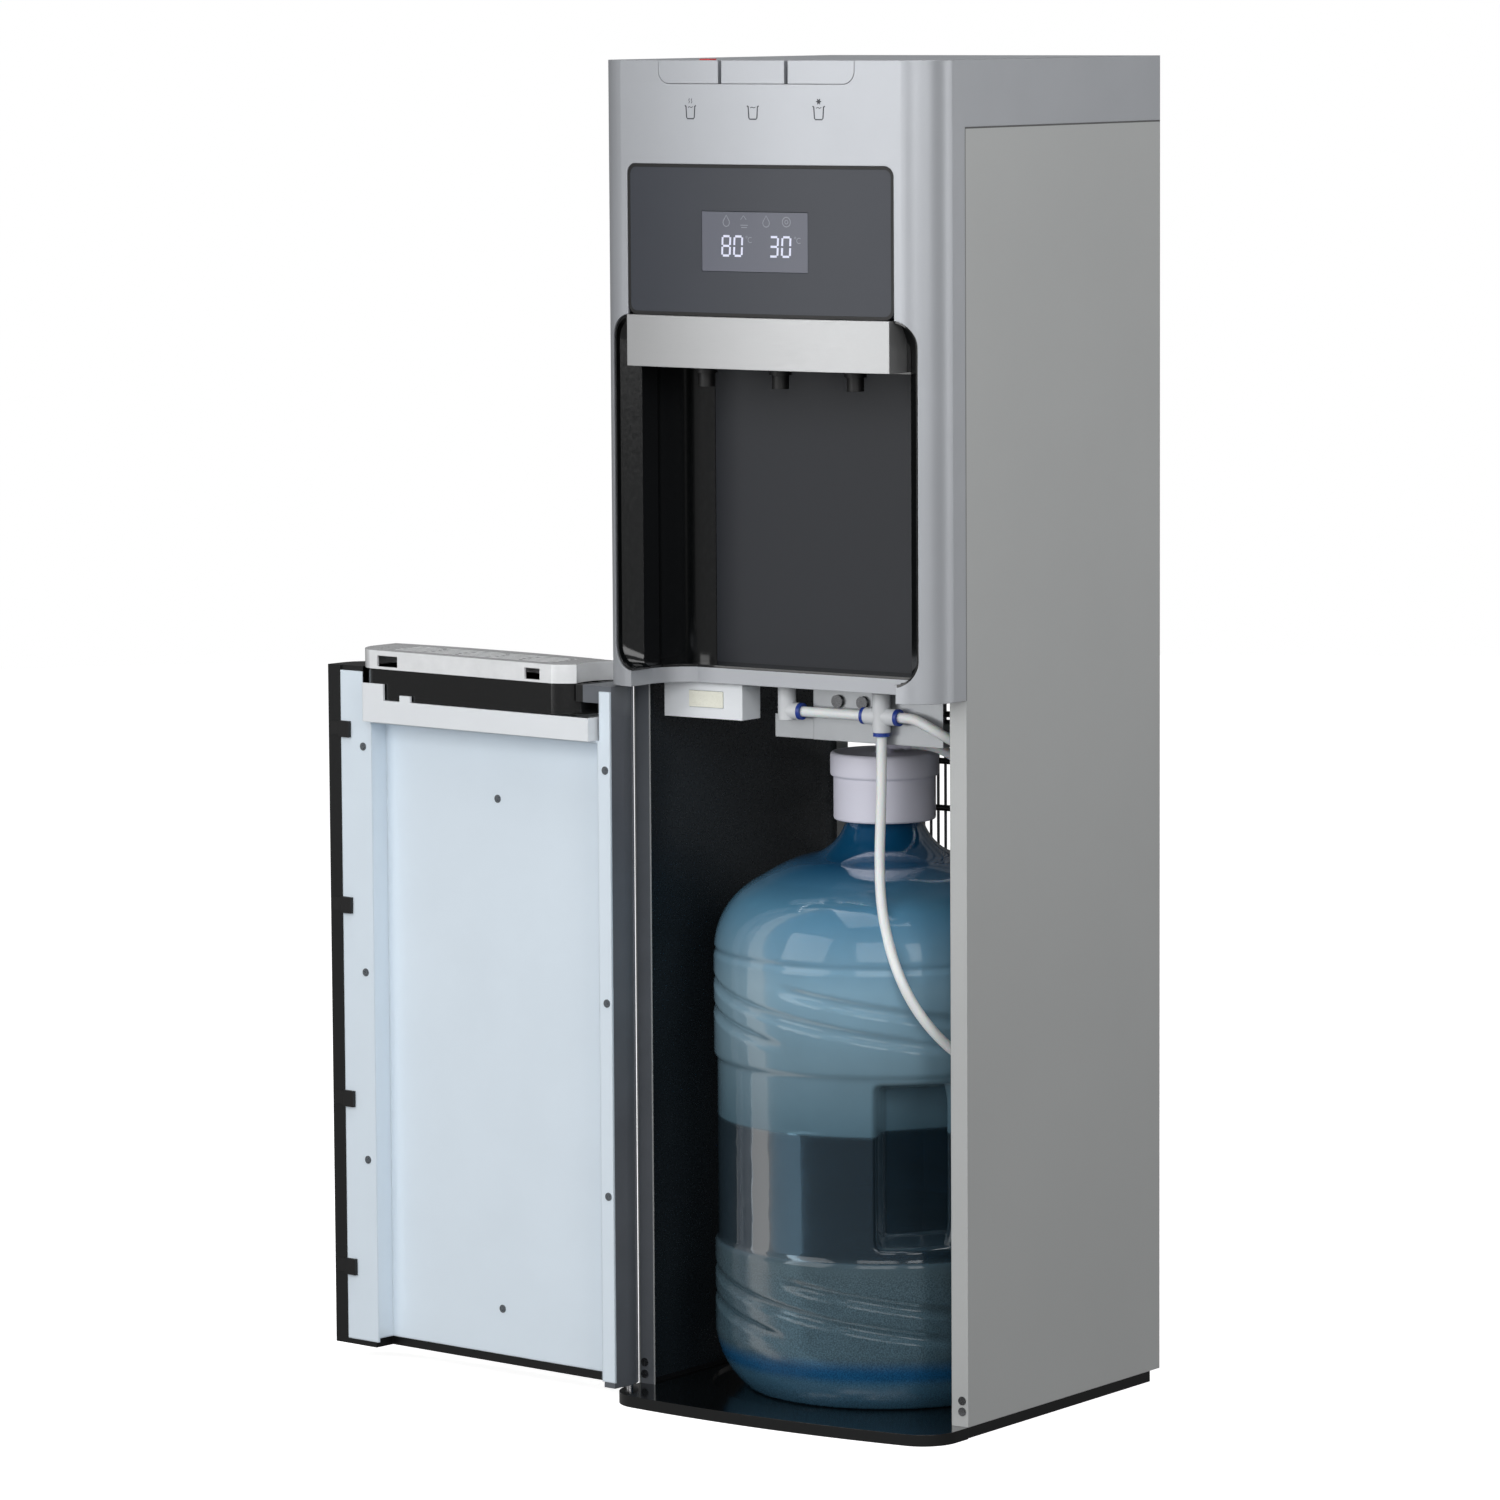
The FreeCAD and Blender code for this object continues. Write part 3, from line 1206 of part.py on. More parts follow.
def build_bottle():
    outer = bottle_solid("bottle_outer", 0.0)
    inner = bottle_solid("bottle_inner", number(bottle_wall))
    mouth = rod("bottle_mouth", neck_radius - bottle_wall, 30, (0, bottle_y, bottle_top - 10))
    shell = cut("bottle_shell", outer, inner, mouth)
    heading = math.radians(number(grip_heading) + 8)
    reach = number(bottle_radius) - 15
    grip = rod("bottle_grip", grip_radius, grip_notch_high - grip_notch_low + 4,
               (reach * math.sin(heading), number(bottle_y) - reach * math.cos(heading),
                grip_notch_low - 2))
    node("bottle", fuse("bottle", shell, grip))

    fill = bottle_solid("water_outer", number(bottle_wall) + number(fit_gap))
    above = block("water_above", (-200, 200), (-300, 300), (water_level, cabinet_height))
    tube_room = rod("water_tube_room", dip_tube_radius + fit_gap, water_level,
                    (0, bottle_y, dip_tube_end - fit_gap))
    grip_room = rod("water_grip_room", grip_radius + fit_gap, grip_notch_high,
                    (reach * math.sin(heading), number(bottle_y) - reach * math.cos(heading),
                     grip_notch_low - 3))
    node("bottle_water", cut("bottle_water", fill, above, tube_room, grip_room))

    neck_room = rod("cap_neck_room", neck_radius + fit_gap, bottle_top - cap_low,
                    (0, bottle_y, cap_low))
    skirt = rod("cap_skirt", cap_skirt_radius, cap_lid_low - cap_low, (0, bottle_y, cap_low))
    lid = rod("cap_lid", cap_lid_radius, cap_top - cap_lid_low, (0, bottle_y, cap_lid_low))
    lid = round_edges("cap_lid_rounded", lid, 2, lambda edge: edge.BoundBox.ZLength < 0.1
                      and middle(edge).z > number(cap_top) - 0.1)
    end_x, end_z = HOSE_ROUTE[-1][0], HOSE_ROUTE[-1][2]
    port = rod("cap_port", 7, end_z + 5 - cap_top, (0, bottle_y, cap_top))
    barb = rod("cap_barb", 5.5, end_x, (0, bottle_y, end_z), "x")
    node("bottle_cap", cut("bottle_cap", fuse("cap_outer", skirt, lid, port, barb), neck_room))
    node("dip_tube", sleeve("dip_tube", dip_tube_radius, dip_tube_radius - 1.5,
                            bottle_top - dip_tube_end, (0, bottle_y, dip_tube_end)))


# ---------------------------------------------------------------- door
def door_pose():
    centre = Vector(number(hinge_x), number(hinge_y), 0)
    turn = FreeCAD.Rotation(UP, -number(door_open_angle))
    return FreeCAD.Placement(Vector(), turn, centre)


def door_prism(name, back, low, high, inset=0.0):
    return bowed_prism(name, door_half_width, back, low, high, inset)


def door_skin_solid(name):
    """The outer sheet: the bowed front and the start of both rounded corners."""
    outer = door_prism(name + "_outer", door_inner, door_bottom, door_top)
    inner = door_prism(name + "_inner", door_inner, door_bottom, door_top, door_skin)
    behind = block(name + "_behind", (-half_width, half_width),
                   (panel_front - door_side_depth, panel_back), (0, cabinet_height))
    return cut(name, outer, inner, behind)


def build_door_panel():
    node("door_panel", door_skin_solid("door_panel"), door_pose())


def build_door_frame():
    side = door_half_width
    liner_face = door_inner - door_liner_gauge
    body = door_prism("frame_outer", liner_face, door_bottom, door_top)
    skin_room = door_skin_solid("frame_skin_room")
    lips = [block("free_lip", (side - door_rim, side), (liner_face, door_inner),
                  (door_bottom, door_top)),
            block("low_lip", (-side, side - door_rim), (liner_face, door_inner),
                  (door_bottom, door_bottom + 4))]
    window = block("frame_window", (door_hinge_rim - side, side - door_rim),
                   (front_middle, panel_front),
                   (door_bottom + door_rim, door_top - door_rim))
    gauge = door_liner_gauge
    well = block("frame_well", (-recess_left - gauge, recess_right + gauge),
                 (door_inner - recess_depth - gauge, panel_front),
                 (door_bottom, door_bottom + door_rim))
    tray_slot = slot_prism("frame_slot", door_top - door_rim - 1, door_top)
    bore = hinge_pin_radius + fit_gap
    pin_rooms = [rod("pin_room", bore, hinge_pin_length, (hinge_x, hinge_y, low))
                 for low in (door_bottom, door_top - hinge_pin_length)]
    frame = cut("door_frame", fuse("frame_solid", body, *lips), skin_room, window, well,
                tray_slot, *pin_rooms)
    node("door_frame", frame, door_pose())


def door_screw_spots():
    """Screw positions in the closed door: across, height and the face they sit on."""
    well_floor = door_inner - recess_depth
    free_x = recess_right + 9
    hinge_side_x = 5 - door_half_width
    spots = [(free_x, door_top - drop, door_inner) for drop in FREE_SCREW_DROPS]
    spots += [(hinge_side_x, door_top - drop - 1, door_inner) for drop in FREE_SCREW_DROPS]
    spots += [(-17, door_top - drop, well_floor) for drop in WELL_SCREW_DROPS]
    return spots


def build_door_liner():
    side = door_half_width
    face = door_inner
    gauge = door_liner_gauge
    floor_y = face - recess_depth
    plate = block("liner_plate", (-side, side - door_rim - fit_gap), (face - gauge, face),
                  (door_bottom + 4 + fit_gap, door_top - 4))
    well = block("liner_well", (-recess_left - gauge, recess_right + gauge),
                 (floor_y - gauge, face), (recess_low, bracket_low))
    room = block("liner_room", (-recess_left, recess_right), (floor_y, panel_front),
                 (door_bottom, bracket_low - gauge))
    top_room = block("liner_top_room", (-recess_left - gauge, recess_right + gauge),
                     (face - gauge, face), (bracket_low, door_top))
    tray_slot = slot_prism("liner_slot", bracket_low, door_top)
    holes = [rod("liner_hole", 1.6, gauge, (x, y - gauge, z), "y")
             for x, z, y in door_screw_spots()]
    liner = cut("door_liner", fuse("liner_outer", plate, well), room, top_room, tray_slot,
                *holes)
    node("door_liner", liner, door_pose())

    screws = []
    for x, z, y in door_screw_spots():
        head = rod("door_screw_head", 3.2, door_screw_head, (x, y, z), "y")
        shank = rod("door_screw_shank", 1.4, gauge, (x, y - gauge, z), "y")
        screws.append(fuse("door_screw", head, shank))
    node("door_screws", group("door_screws", *screws), door_pose())

    clips = []
    flange_edge = half_width - flange_width
    for drop in CLIP_DROPS:
        height = door_top - drop
        body = block("clip_body", (clip_left, flange_edge - 3 * fit_gap), (face, face + 3),
                     (height - clip_height / 2, height + clip_height / 2))
        tail = block("clip_tail", (flange_edge - 3 * fit_gap, side - 2.5),
                     (face, face + door_screw_head),
                     (height - clip_height / 2 + 1, height + clip_height / 2 - 1))
        clips.append(fuse("door_clip", body, tail))
    node("door_clips", group("door_clips", *clips), door_pose())


def build_tray():
    rear = panel_front + slot_rear_past_panel
    inside = door_skin + 1
    left, right = -recess_left + 1.4, recess_right + 0.5
    outer = common("bracket_outer_shape",
                   block("bracket_block", (left, right), (front_middle, rear),
                         (bracket_low, basin_low)),
                   door_prism("bracket_front", panel_front + 20, door_bottom, door_top, inside))
    room = common("bracket_room_shape",
                  block("bracket_room", (left + 3, right - 3), (front_middle, rear - 2),
                        (bracket_low + 2, basin_low)),
                  door_prism("bracket_inside", panel_front + 20, door_bottom, door_top,
                             inside + 3))
    tabs = [block("bracket_tab", (low, high), (rear - 2, rear), (basin_low, top))
            for low, high, top in ((right - 23, right, basin_low + 13),
                                   (right - 52.5, right - 41, basin_low + 5))]
    node("tray_bracket", fuse("tray_bracket", cut("bracket_trough", outer, room), *tabs),
         door_pose())

    floor = basin_low + fit_gap
    rim = door_top
    inset = tray_gap + basin_inset
    outer = common("basin_outer", slot_prism("basin_plan", floor, rim, inset),
                   door_prism("basin_front", panel_front + 20, door_bottom, door_top,
                              inside + 0.5))
    room = common("basin_room", slot_prism("basin_room_plan", floor + basin_wall, rim,
                                           inset + basin_wall),
                  door_prism("basin_room_front", panel_front + 20, door_bottom, door_top,
                             inside + basin_wall + 0.5))
    node("drip_basin", cut("drip_basin", outer, room), door_pose())

    low = door_top + fit_gap
    outer = common("grille_outer", slot_prism("grille_plan", low, tray_top, tray_gap),
                   door_prism("grille_front", panel_front + 20, door_bottom, tray_top))
    room = common("grille_room", slot_prism("grille_room_plan", low, tray_top - 2,
                                            tray_gap + 2),
                  door_prism("grille_room_front", panel_front + 20, door_bottom, tray_top, 2))
    swing = rod("grille_swing", tray_hinge_clearance, tray_top - low, (hinge_x, hinge_y, low))
    swing_wall = rod("grille_swing_wall", tray_hinge_clearance + 2, tray_top - low - 2,
                     (hinge_x, hinge_y, low))
    room = cut("grille_room_left", room, swing_wall)
    slots = []
    top = tray_top - 2
    marks = [sleeve("cup_mark", cup_mark_radius, cup_mark_radius - 3, 2, (x, CUP_Y, top))
             for x in (-tap_spacing, 0, tap_spacing)]
    slot_end = slot_rear_half_width - 14
    for row in range(GRILLE_ROWS):
        y = panel_front - slot_shoulder_back - 18 + 7 * row
        slots.append(block("grille_slot", (-slot_end, slot_end), (y, y + 3), (top, tray_top)))
    bars = fuse("grille_slots", *slots)
    bars = cut("grille_open_slots", bars, *marks)
    back = rear - tray_gap
    windows = [block("grille_window", (x, x + wide), (back - 3, back), (low + 2, tray_top - 4))
               for x, wide in ((slot_end - 18, 22), (-slot_end, 16))]
    node("drip_grille", cut("drip_grille", outer, room, swing, bars, *windows), door_pose())


GRILLE_ROWS = 5
CUP_Y = panel_front - 20


def build_fasteners():
    spots = [(side * (half_width - 5.5), height) for side, heights in
             ((-1, (26, 16.6)), (1, (29, 20.6))) for height in heights]
    screws = [rod("flange_screw", 3.4, 0.5, (x, panel_front - 0.5, z), "y") for x, z in spots]
    bolt_y = panel_front + tee_behind_panel + tee_radius - 3
    for x in (13.6, 36.8):
        screws.append(rod("bracket_bolt", 5, 3, (x, bolt_y, fascia_bottom - 11), "y"))
    node("cabinet_screws", group("cabinet_screws", *screws))

    length = door_bottom - base_thickness + hinge_pin_length - fit_gap
    low_pin = rod("low_pin", hinge_pin_radius, length, (hinge_x, hinge_y, base_thickness))
    length = fascia_bottom - door_top + hinge_pin_length - fit_gap
    high_pin = rod("high_pin", hinge_pin_radius, length,
                   (hinge_x, hinge_y, fascia_bottom - length))
    node("hinge_pins", group("hinge_pins", low_pin, high_pin))


# ---------------------------------------------------------------- the whole cooler
build_base()
build_side("left_side_panel", -1)
build_side("right_side_panel", 1)
build_liner("left_liner", -1)
build_liner("right_liner", 1)
build_fascia()
build_buttons()
build_display()
build_tap_cover()
build_alcove()
build_shelf("mid_shelf", shelf_height, shelf_front)
build_shelf("tank_shelf", tank_shelf_height, tank_shelf_front)
build_rear_panel()
build_rear_fittings()
build_condenser()
build_machinery()
build_fittings()
build_hose()
build_bottle()
build_door_panel()
build_door_frame()
build_door_liner()
build_tray()
build_fasteners()
doc.recompute()

faults = [item.Name for item in doc.Objects
          if "Invalid" in item.State or "Error" in item.State]
for name, item in NODES.items():
    item.Label = name
    shape = item.Shape
    if shape.isNull() or not shape.isValid() or not shape.Solids:
        faults.append(name)
if faults:
    raise RuntimeError("failed objects: " + ", ".join(faults))

os.makedirs("parts", exist_ok=True)
for name, item in NODES.items():
    item.Shape.exportStep(os.path.join("parts", name + ".step"))
print(len(NODES), "nodes written")
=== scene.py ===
import json
import math

import bpy
from mathutils import Matrix, Vector


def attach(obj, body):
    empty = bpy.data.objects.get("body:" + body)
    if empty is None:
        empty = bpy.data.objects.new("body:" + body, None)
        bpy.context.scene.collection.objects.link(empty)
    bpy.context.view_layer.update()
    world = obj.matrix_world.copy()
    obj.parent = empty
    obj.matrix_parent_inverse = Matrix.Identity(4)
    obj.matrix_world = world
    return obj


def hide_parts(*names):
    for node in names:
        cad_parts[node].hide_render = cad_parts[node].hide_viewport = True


# Bottom load water cooler, metres. The door stands open, swung past half a turn.

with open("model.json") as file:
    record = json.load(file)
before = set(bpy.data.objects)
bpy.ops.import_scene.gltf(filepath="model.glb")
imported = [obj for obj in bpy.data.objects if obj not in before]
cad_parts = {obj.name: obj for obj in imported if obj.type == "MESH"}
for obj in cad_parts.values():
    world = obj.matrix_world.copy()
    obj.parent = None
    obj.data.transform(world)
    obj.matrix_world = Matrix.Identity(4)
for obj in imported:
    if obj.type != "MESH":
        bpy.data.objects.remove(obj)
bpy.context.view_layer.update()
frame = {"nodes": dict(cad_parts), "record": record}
NODES = frame["nodes"]


def mm(*values):
    return tuple(v / 1000 for v in values)


# ---------------------------------------------------------------- camera
CAMERA_AT = (3.0227, -4.4718, 1.1024)
CAMERA_AZIMUTH, CAMERA_PITCH, CAMERA_ROLL = 35.287, 6.3008, -0.3494
FOCAL_PIXELS, FRAME_PIXELS, SENSOR = 6941.764, 1500, 36.0
CAMERA_REACH = 50


def make_camera():
    azimuth, pitch, roll = (math.radians(a) for a in (CAMERA_AZIMUTH, CAMERA_PITCH,
                                                      CAMERA_ROLL))
    forward = Vector((-math.sin(azimuth) * math.cos(pitch),
                      math.cos(azimuth) * math.cos(pitch), -math.sin(pitch)))
    level = Vector((math.cos(azimuth), math.sin(azimuth), 0))
    rise = level.cross(forward)
    right = level * math.cos(roll) + rise * math.sin(roll)
    up = rise * math.cos(roll) - level * math.sin(roll)
    data = bpy.data.cameras.new("camera")
    data.sensor_width = SENSOR
    data.lens = FOCAL_PIXELS / FRAME_PIXELS * SENSOR
    data.clip_end = CAMERA_REACH
    camera = bpy.data.objects.new("camera", data)
    turn = Matrix((right, up, -forward)).transposed()
    camera.matrix_world = Matrix.Translation(CAMERA_AT) @ turn.to_4x4()
    bpy.context.scene.collection.objects.link(camera)
    bpy.context.scene.camera = camera


make_camera()


# ---------------------------------------------------------------- materials
NOISE_LOW, NOISE_HIGH = 0.3, 0.7


def linear(red, green, blue):
    def one(c):
        c /= 255
        return c / 12.92 if c <= 0.04045 else ((c + 0.055) / 1.055) ** 2.4
    return one(red), one(green), one(blue)


def new_material(name):
    item = bpy.data.materials.new(name)
    item.use_nodes = True
    tree = item.node_tree
    return item, tree.nodes, tree.links, tree.nodes["Principled BSDF"]


def noise_field(nodes, links, scale, stretch=(1, 1, 1), detail=3.0, rough=0.55):
    """A noise value over the surface, in the part's own coordinates."""
    place = nodes.new("ShaderNodeTexCoord")
    mapping = nodes.new("ShaderNodeMapping")
    mapping.inputs["Scale"].default_value = stretch
    noise = nodes.new("ShaderNodeTexNoise")
    noise.inputs["Scale"].default_value = scale
    noise.inputs["Detail"].default_value = detail
    noise.inputs["Roughness"].default_value = rough
    links.new(place.outputs["Object"], mapping.inputs["Vector"])
    links.new(mapping.outputs["Vector"], noise.inputs["Vector"])
    return noise.outputs["Fac"]


def own_place(nodes, links):
    """The coordinates of the part's own frame, as X, Y and Z outputs."""
    place = nodes.new("ShaderNodeTexCoord")
    split = nodes.new("ShaderNodeSeparateXYZ")
    links.new(place.outputs["Object"], split.inputs["Vector"])
    return split.outputs


def product_of(nodes, links, first, second):
    item = nodes.new("ShaderNodeMath")
    item.operation = "MULTIPLY"
    links.new(first, item.inputs[0])
    links.new(second, item.inputs[1])
    return item.outputs["Value"]


def ramp(nodes, links, value, low, high, start=NOISE_LOW, stop=NOISE_HIGH):
    """A colour that goes from low to high between two steps of the value."""
    item = nodes.new("ShaderNodeValToRGB")
    item.color_ramp.elements[0].position = start
    item.color_ramp.elements[1].position = stop
    item.color_ramp.elements[0].color = (*low, 1)
    item.color_ramp.elements[1].color = (*high, 1)
    links.new(value, item.inputs["Fac"])
    return item.outputs["Color"]


def spread_of(nodes, links, value, low, high):
    """The middle of a noise value, spread between low and high."""
    item = nodes.new("ShaderNodeMapRange")
    item.inputs["From Min"].default_value = NOISE_LOW
    item.inputs["From Max"].default_value = NOISE_HIGH
    item.inputs["To Min"].default_value = low
    item.inputs["To Max"].default_value = high
    links.new(value, item.inputs["Value"])
    return item.outputs["Result"]


def bump(nodes, links, value, strength, distance, normal=None):
    item = nodes.new("ShaderNodeBump")
    item.inputs["Strength"].default_value = strength
    item.inputs["Distance"].default_value = distance
    links.new(value, item.inputs["Height"])
    if normal is not None:
        links.new(normal, item.inputs["Normal"])
    return item.outputs["Normal"]


def finish_material(name, colour, rough, metal=0.0, mottle=0.05, mottle_scale=14,
                    rough_spread=0.06, grain=700, grain_strength=0.15,
                    grain_depth=0.00004, stretch=(1, 1, 1), wave=0.0, wave_scale=30,
                    soft_edge=0.0, **fixed):
    """Mottled colour, uneven gloss and a fine grain; fixed values go on the shader itself."""
    item, nodes, links, shader = new_material(name)
    base = linear(*colour)
    broad = noise_field(nodes, links, mottle_scale)
    fine = noise_field(nodes, links, grain, stretch, 2.0)
    low = tuple(c * (1 - mottle) for c in base)
    high = tuple(min(1.0, c * (1 + mottle)) for c in base)
    links.new(ramp(nodes, links, broad, low, high), shader.inputs["Base Color"])
    links.new(spread_of(nodes, links, fine, max(0.0, rough - rough_spread),
                        rough + rough_spread), shader.inputs["Roughness"])
    normal = None
    if soft_edge:
        bevel = nodes.new("ShaderNodeBevel")
        bevel.samples = 4
        bevel.inputs["Radius"].default_value = soft_edge
        normal = bevel.outputs["Normal"]
    if wave:
        normal = bump(nodes, links, noise_field(nodes, links, wave_scale), 1.0, wave, normal)
    normal = bump(nodes, links, fine, grain_strength, grain_depth, normal)
    links.new(normal, shader.inputs["Normal"])
    shader.inputs["Metallic"].default_value = metal
    for key, value in fixed.items():
        shader.inputs[key.replace("_", " ")].default_value = value
    return item


def coat(weight, rough):
    return {"Coat Weight": weight, "Coat Roughness": rough}


def band_mask(nodes, links, height, low, high, soft):
    """1 between two heights of the part's own frame, fading over a soft margin."""
    shares = []
    for start, stop in ((low - soft, low), (high + soft, high)):
        item = nodes.new("ShaderNodeMapRange")
        item.inputs["From Min"].default_value = start
        item.inputs["From Max"].default_value = stop
        links.new(height, item.inputs["Value"])
        shares.append(item.outputs["Result"])
    return product_of(nodes, links, *shares)


# The bottle's finish by height, in metres: tints at shares of TINT_TOP, darker below the water
# line as painted shade and lighter upward to the shoulder; bands as low, high and margin.
TINT_TOP = 0.5
BOTTLE_TINTS_AND_SHADE = ((0.0, (80, 128, 158)), (0.058, (80, 128, 158)), (0.07, (38, 104, 154)),
                (0.08, (38, 104, 154)), (0.1, (84, 112, 126)), (0.24, (90, 112, 122)),
                (0.26, (66, 88, 102)), (0.442, (62, 84, 98)), (0.449, (98, 130, 146)),
                (0.56, (132, 164, 180)), (0.67, (152, 190, 210)), (0.79, (96, 152, 184)),
                (0.85, (20, 88, 130)))
FROSTED_BANDS = ((0.03, 0.112, 0.012), (0.0, 0.02, 0.01))
CLEAR_BAND = (0.126, 0.2225, 0.0015)
MILKY_LIGHT, CLEAR_LIGHT = 0.36, 0.72
BOTTLE_GLOSS = (0.05, 0.1)


def tint_and_shade_by_height(nodes, links, height):
    tint = nodes.new("ShaderNodeValToRGB")
    stops = tint.color_ramp.elements
    while len(stops) < len(BOTTLE_TINTS_AND_SHADE):
        stops.new(0.5)
    for stop, (position, colour) in zip(stops, BOTTLE_TINTS_AND_SHADE):
        stop.position = position
        stop.color = (*linear(*colour), 1)
    scaled = nodes.new("ShaderNodeMapRange")
    scaled.inputs["From Max"].default_value = TINT_TOP
    links.new(height, scaled.inputs["Value"])
    links.new(scaled.outputs["Result"], tint.inputs["Fac"])
    return tint.outputs["Color"]


def multiplied(nodes, links, colour, pattern, share=None):
    """The colour times a pattern, everywhere or by a share."""
    mix = nodes.new("ShaderNodeMix")
    mix.data_type = "RGBA"
    mix.blend_type = "MULTIPLY"
    mix.inputs["Factor"].default_value = 1.0
    if share is not None:
        links.new(share, mix.inputs["Factor"])
    links.new(colour, mix.inputs["A"])
    links.new(pattern, mix.inputs["B"])
    return mix.outputs["Result"]


def bottle_material():
    """Milky steel-blue plastic: frosted bands, smooth waist, a deeper blue neck, and painted
    shade below the water line.
    """
    item, nodes, links, shader = new_material("bottle_blue")
    height = own_place(nodes, links)["Z"]
    cloud = noise_field(nodes, links, 18)
    pebble = noise_field(nodes, links, 950, detail=1.5)
    bands = nodes.new("ShaderNodeMath")
    bands.operation = "MAXIMUM"
    for i, band in enumerate(FROSTED_BANDS):
        links.new(band_mask(nodes, links, height, *band), bands.inputs[i])
    frosted = bands.outputs["Value"]
    cloudy = ramp(nodes, links, cloud, (0.9,) * 3, (1,) * 3)
    speckled = ramp(nodes, links, pebble, (0.68,) * 3, (1.2,) * 3, 0.35, 0.65)
    # The tint by height darkens the wall below the water line: painted shade.
    colour = multiplied(nodes, links, tint_and_shade_by_height(nodes, links, height), cloudy)
    links.new(multiplied(nodes, links, colour, speckled, frosted), shader.inputs["Base Color"])
    normal = bump(nodes, links, cloud, 0.5, 0.0012)
    relief = product_of(nodes, links, pebble, frosted)
    links.new(bump(nodes, links, relief, 0.35, 0.0003, normal), shader.inputs["Normal"])
    links.new(spread_of(nodes, links, cloud, *BOTTLE_GLOSS), shader.inputs["Roughness"])
    clear = nodes.new("ShaderNodeMapRange")
    clear.inputs["To Min"].default_value = MILKY_LIGHT
    clear.inputs["To Max"].default_value = CLEAR_LIGHT
    links.new(band_mask(nodes, links, height, *CLEAR_BAND), clear.inputs["Value"])
    links.new(clear.outputs["Result"], shader.inputs["Transmission Weight"])
    shader.inputs["IOR"].default_value = 1.4
    shader.inputs["Specular IOR Level"].default_value = 0.3
    return item


def sheet_finish(name):
    """Painted grey sheet, for the side panels."""
    return finish_material(name, (184, 186, 186), 0.42, 0.3, mottle=0.02, mottle_scale=5,
                           grain=1900, grain_strength=0.1, soft_edge=0.0005)


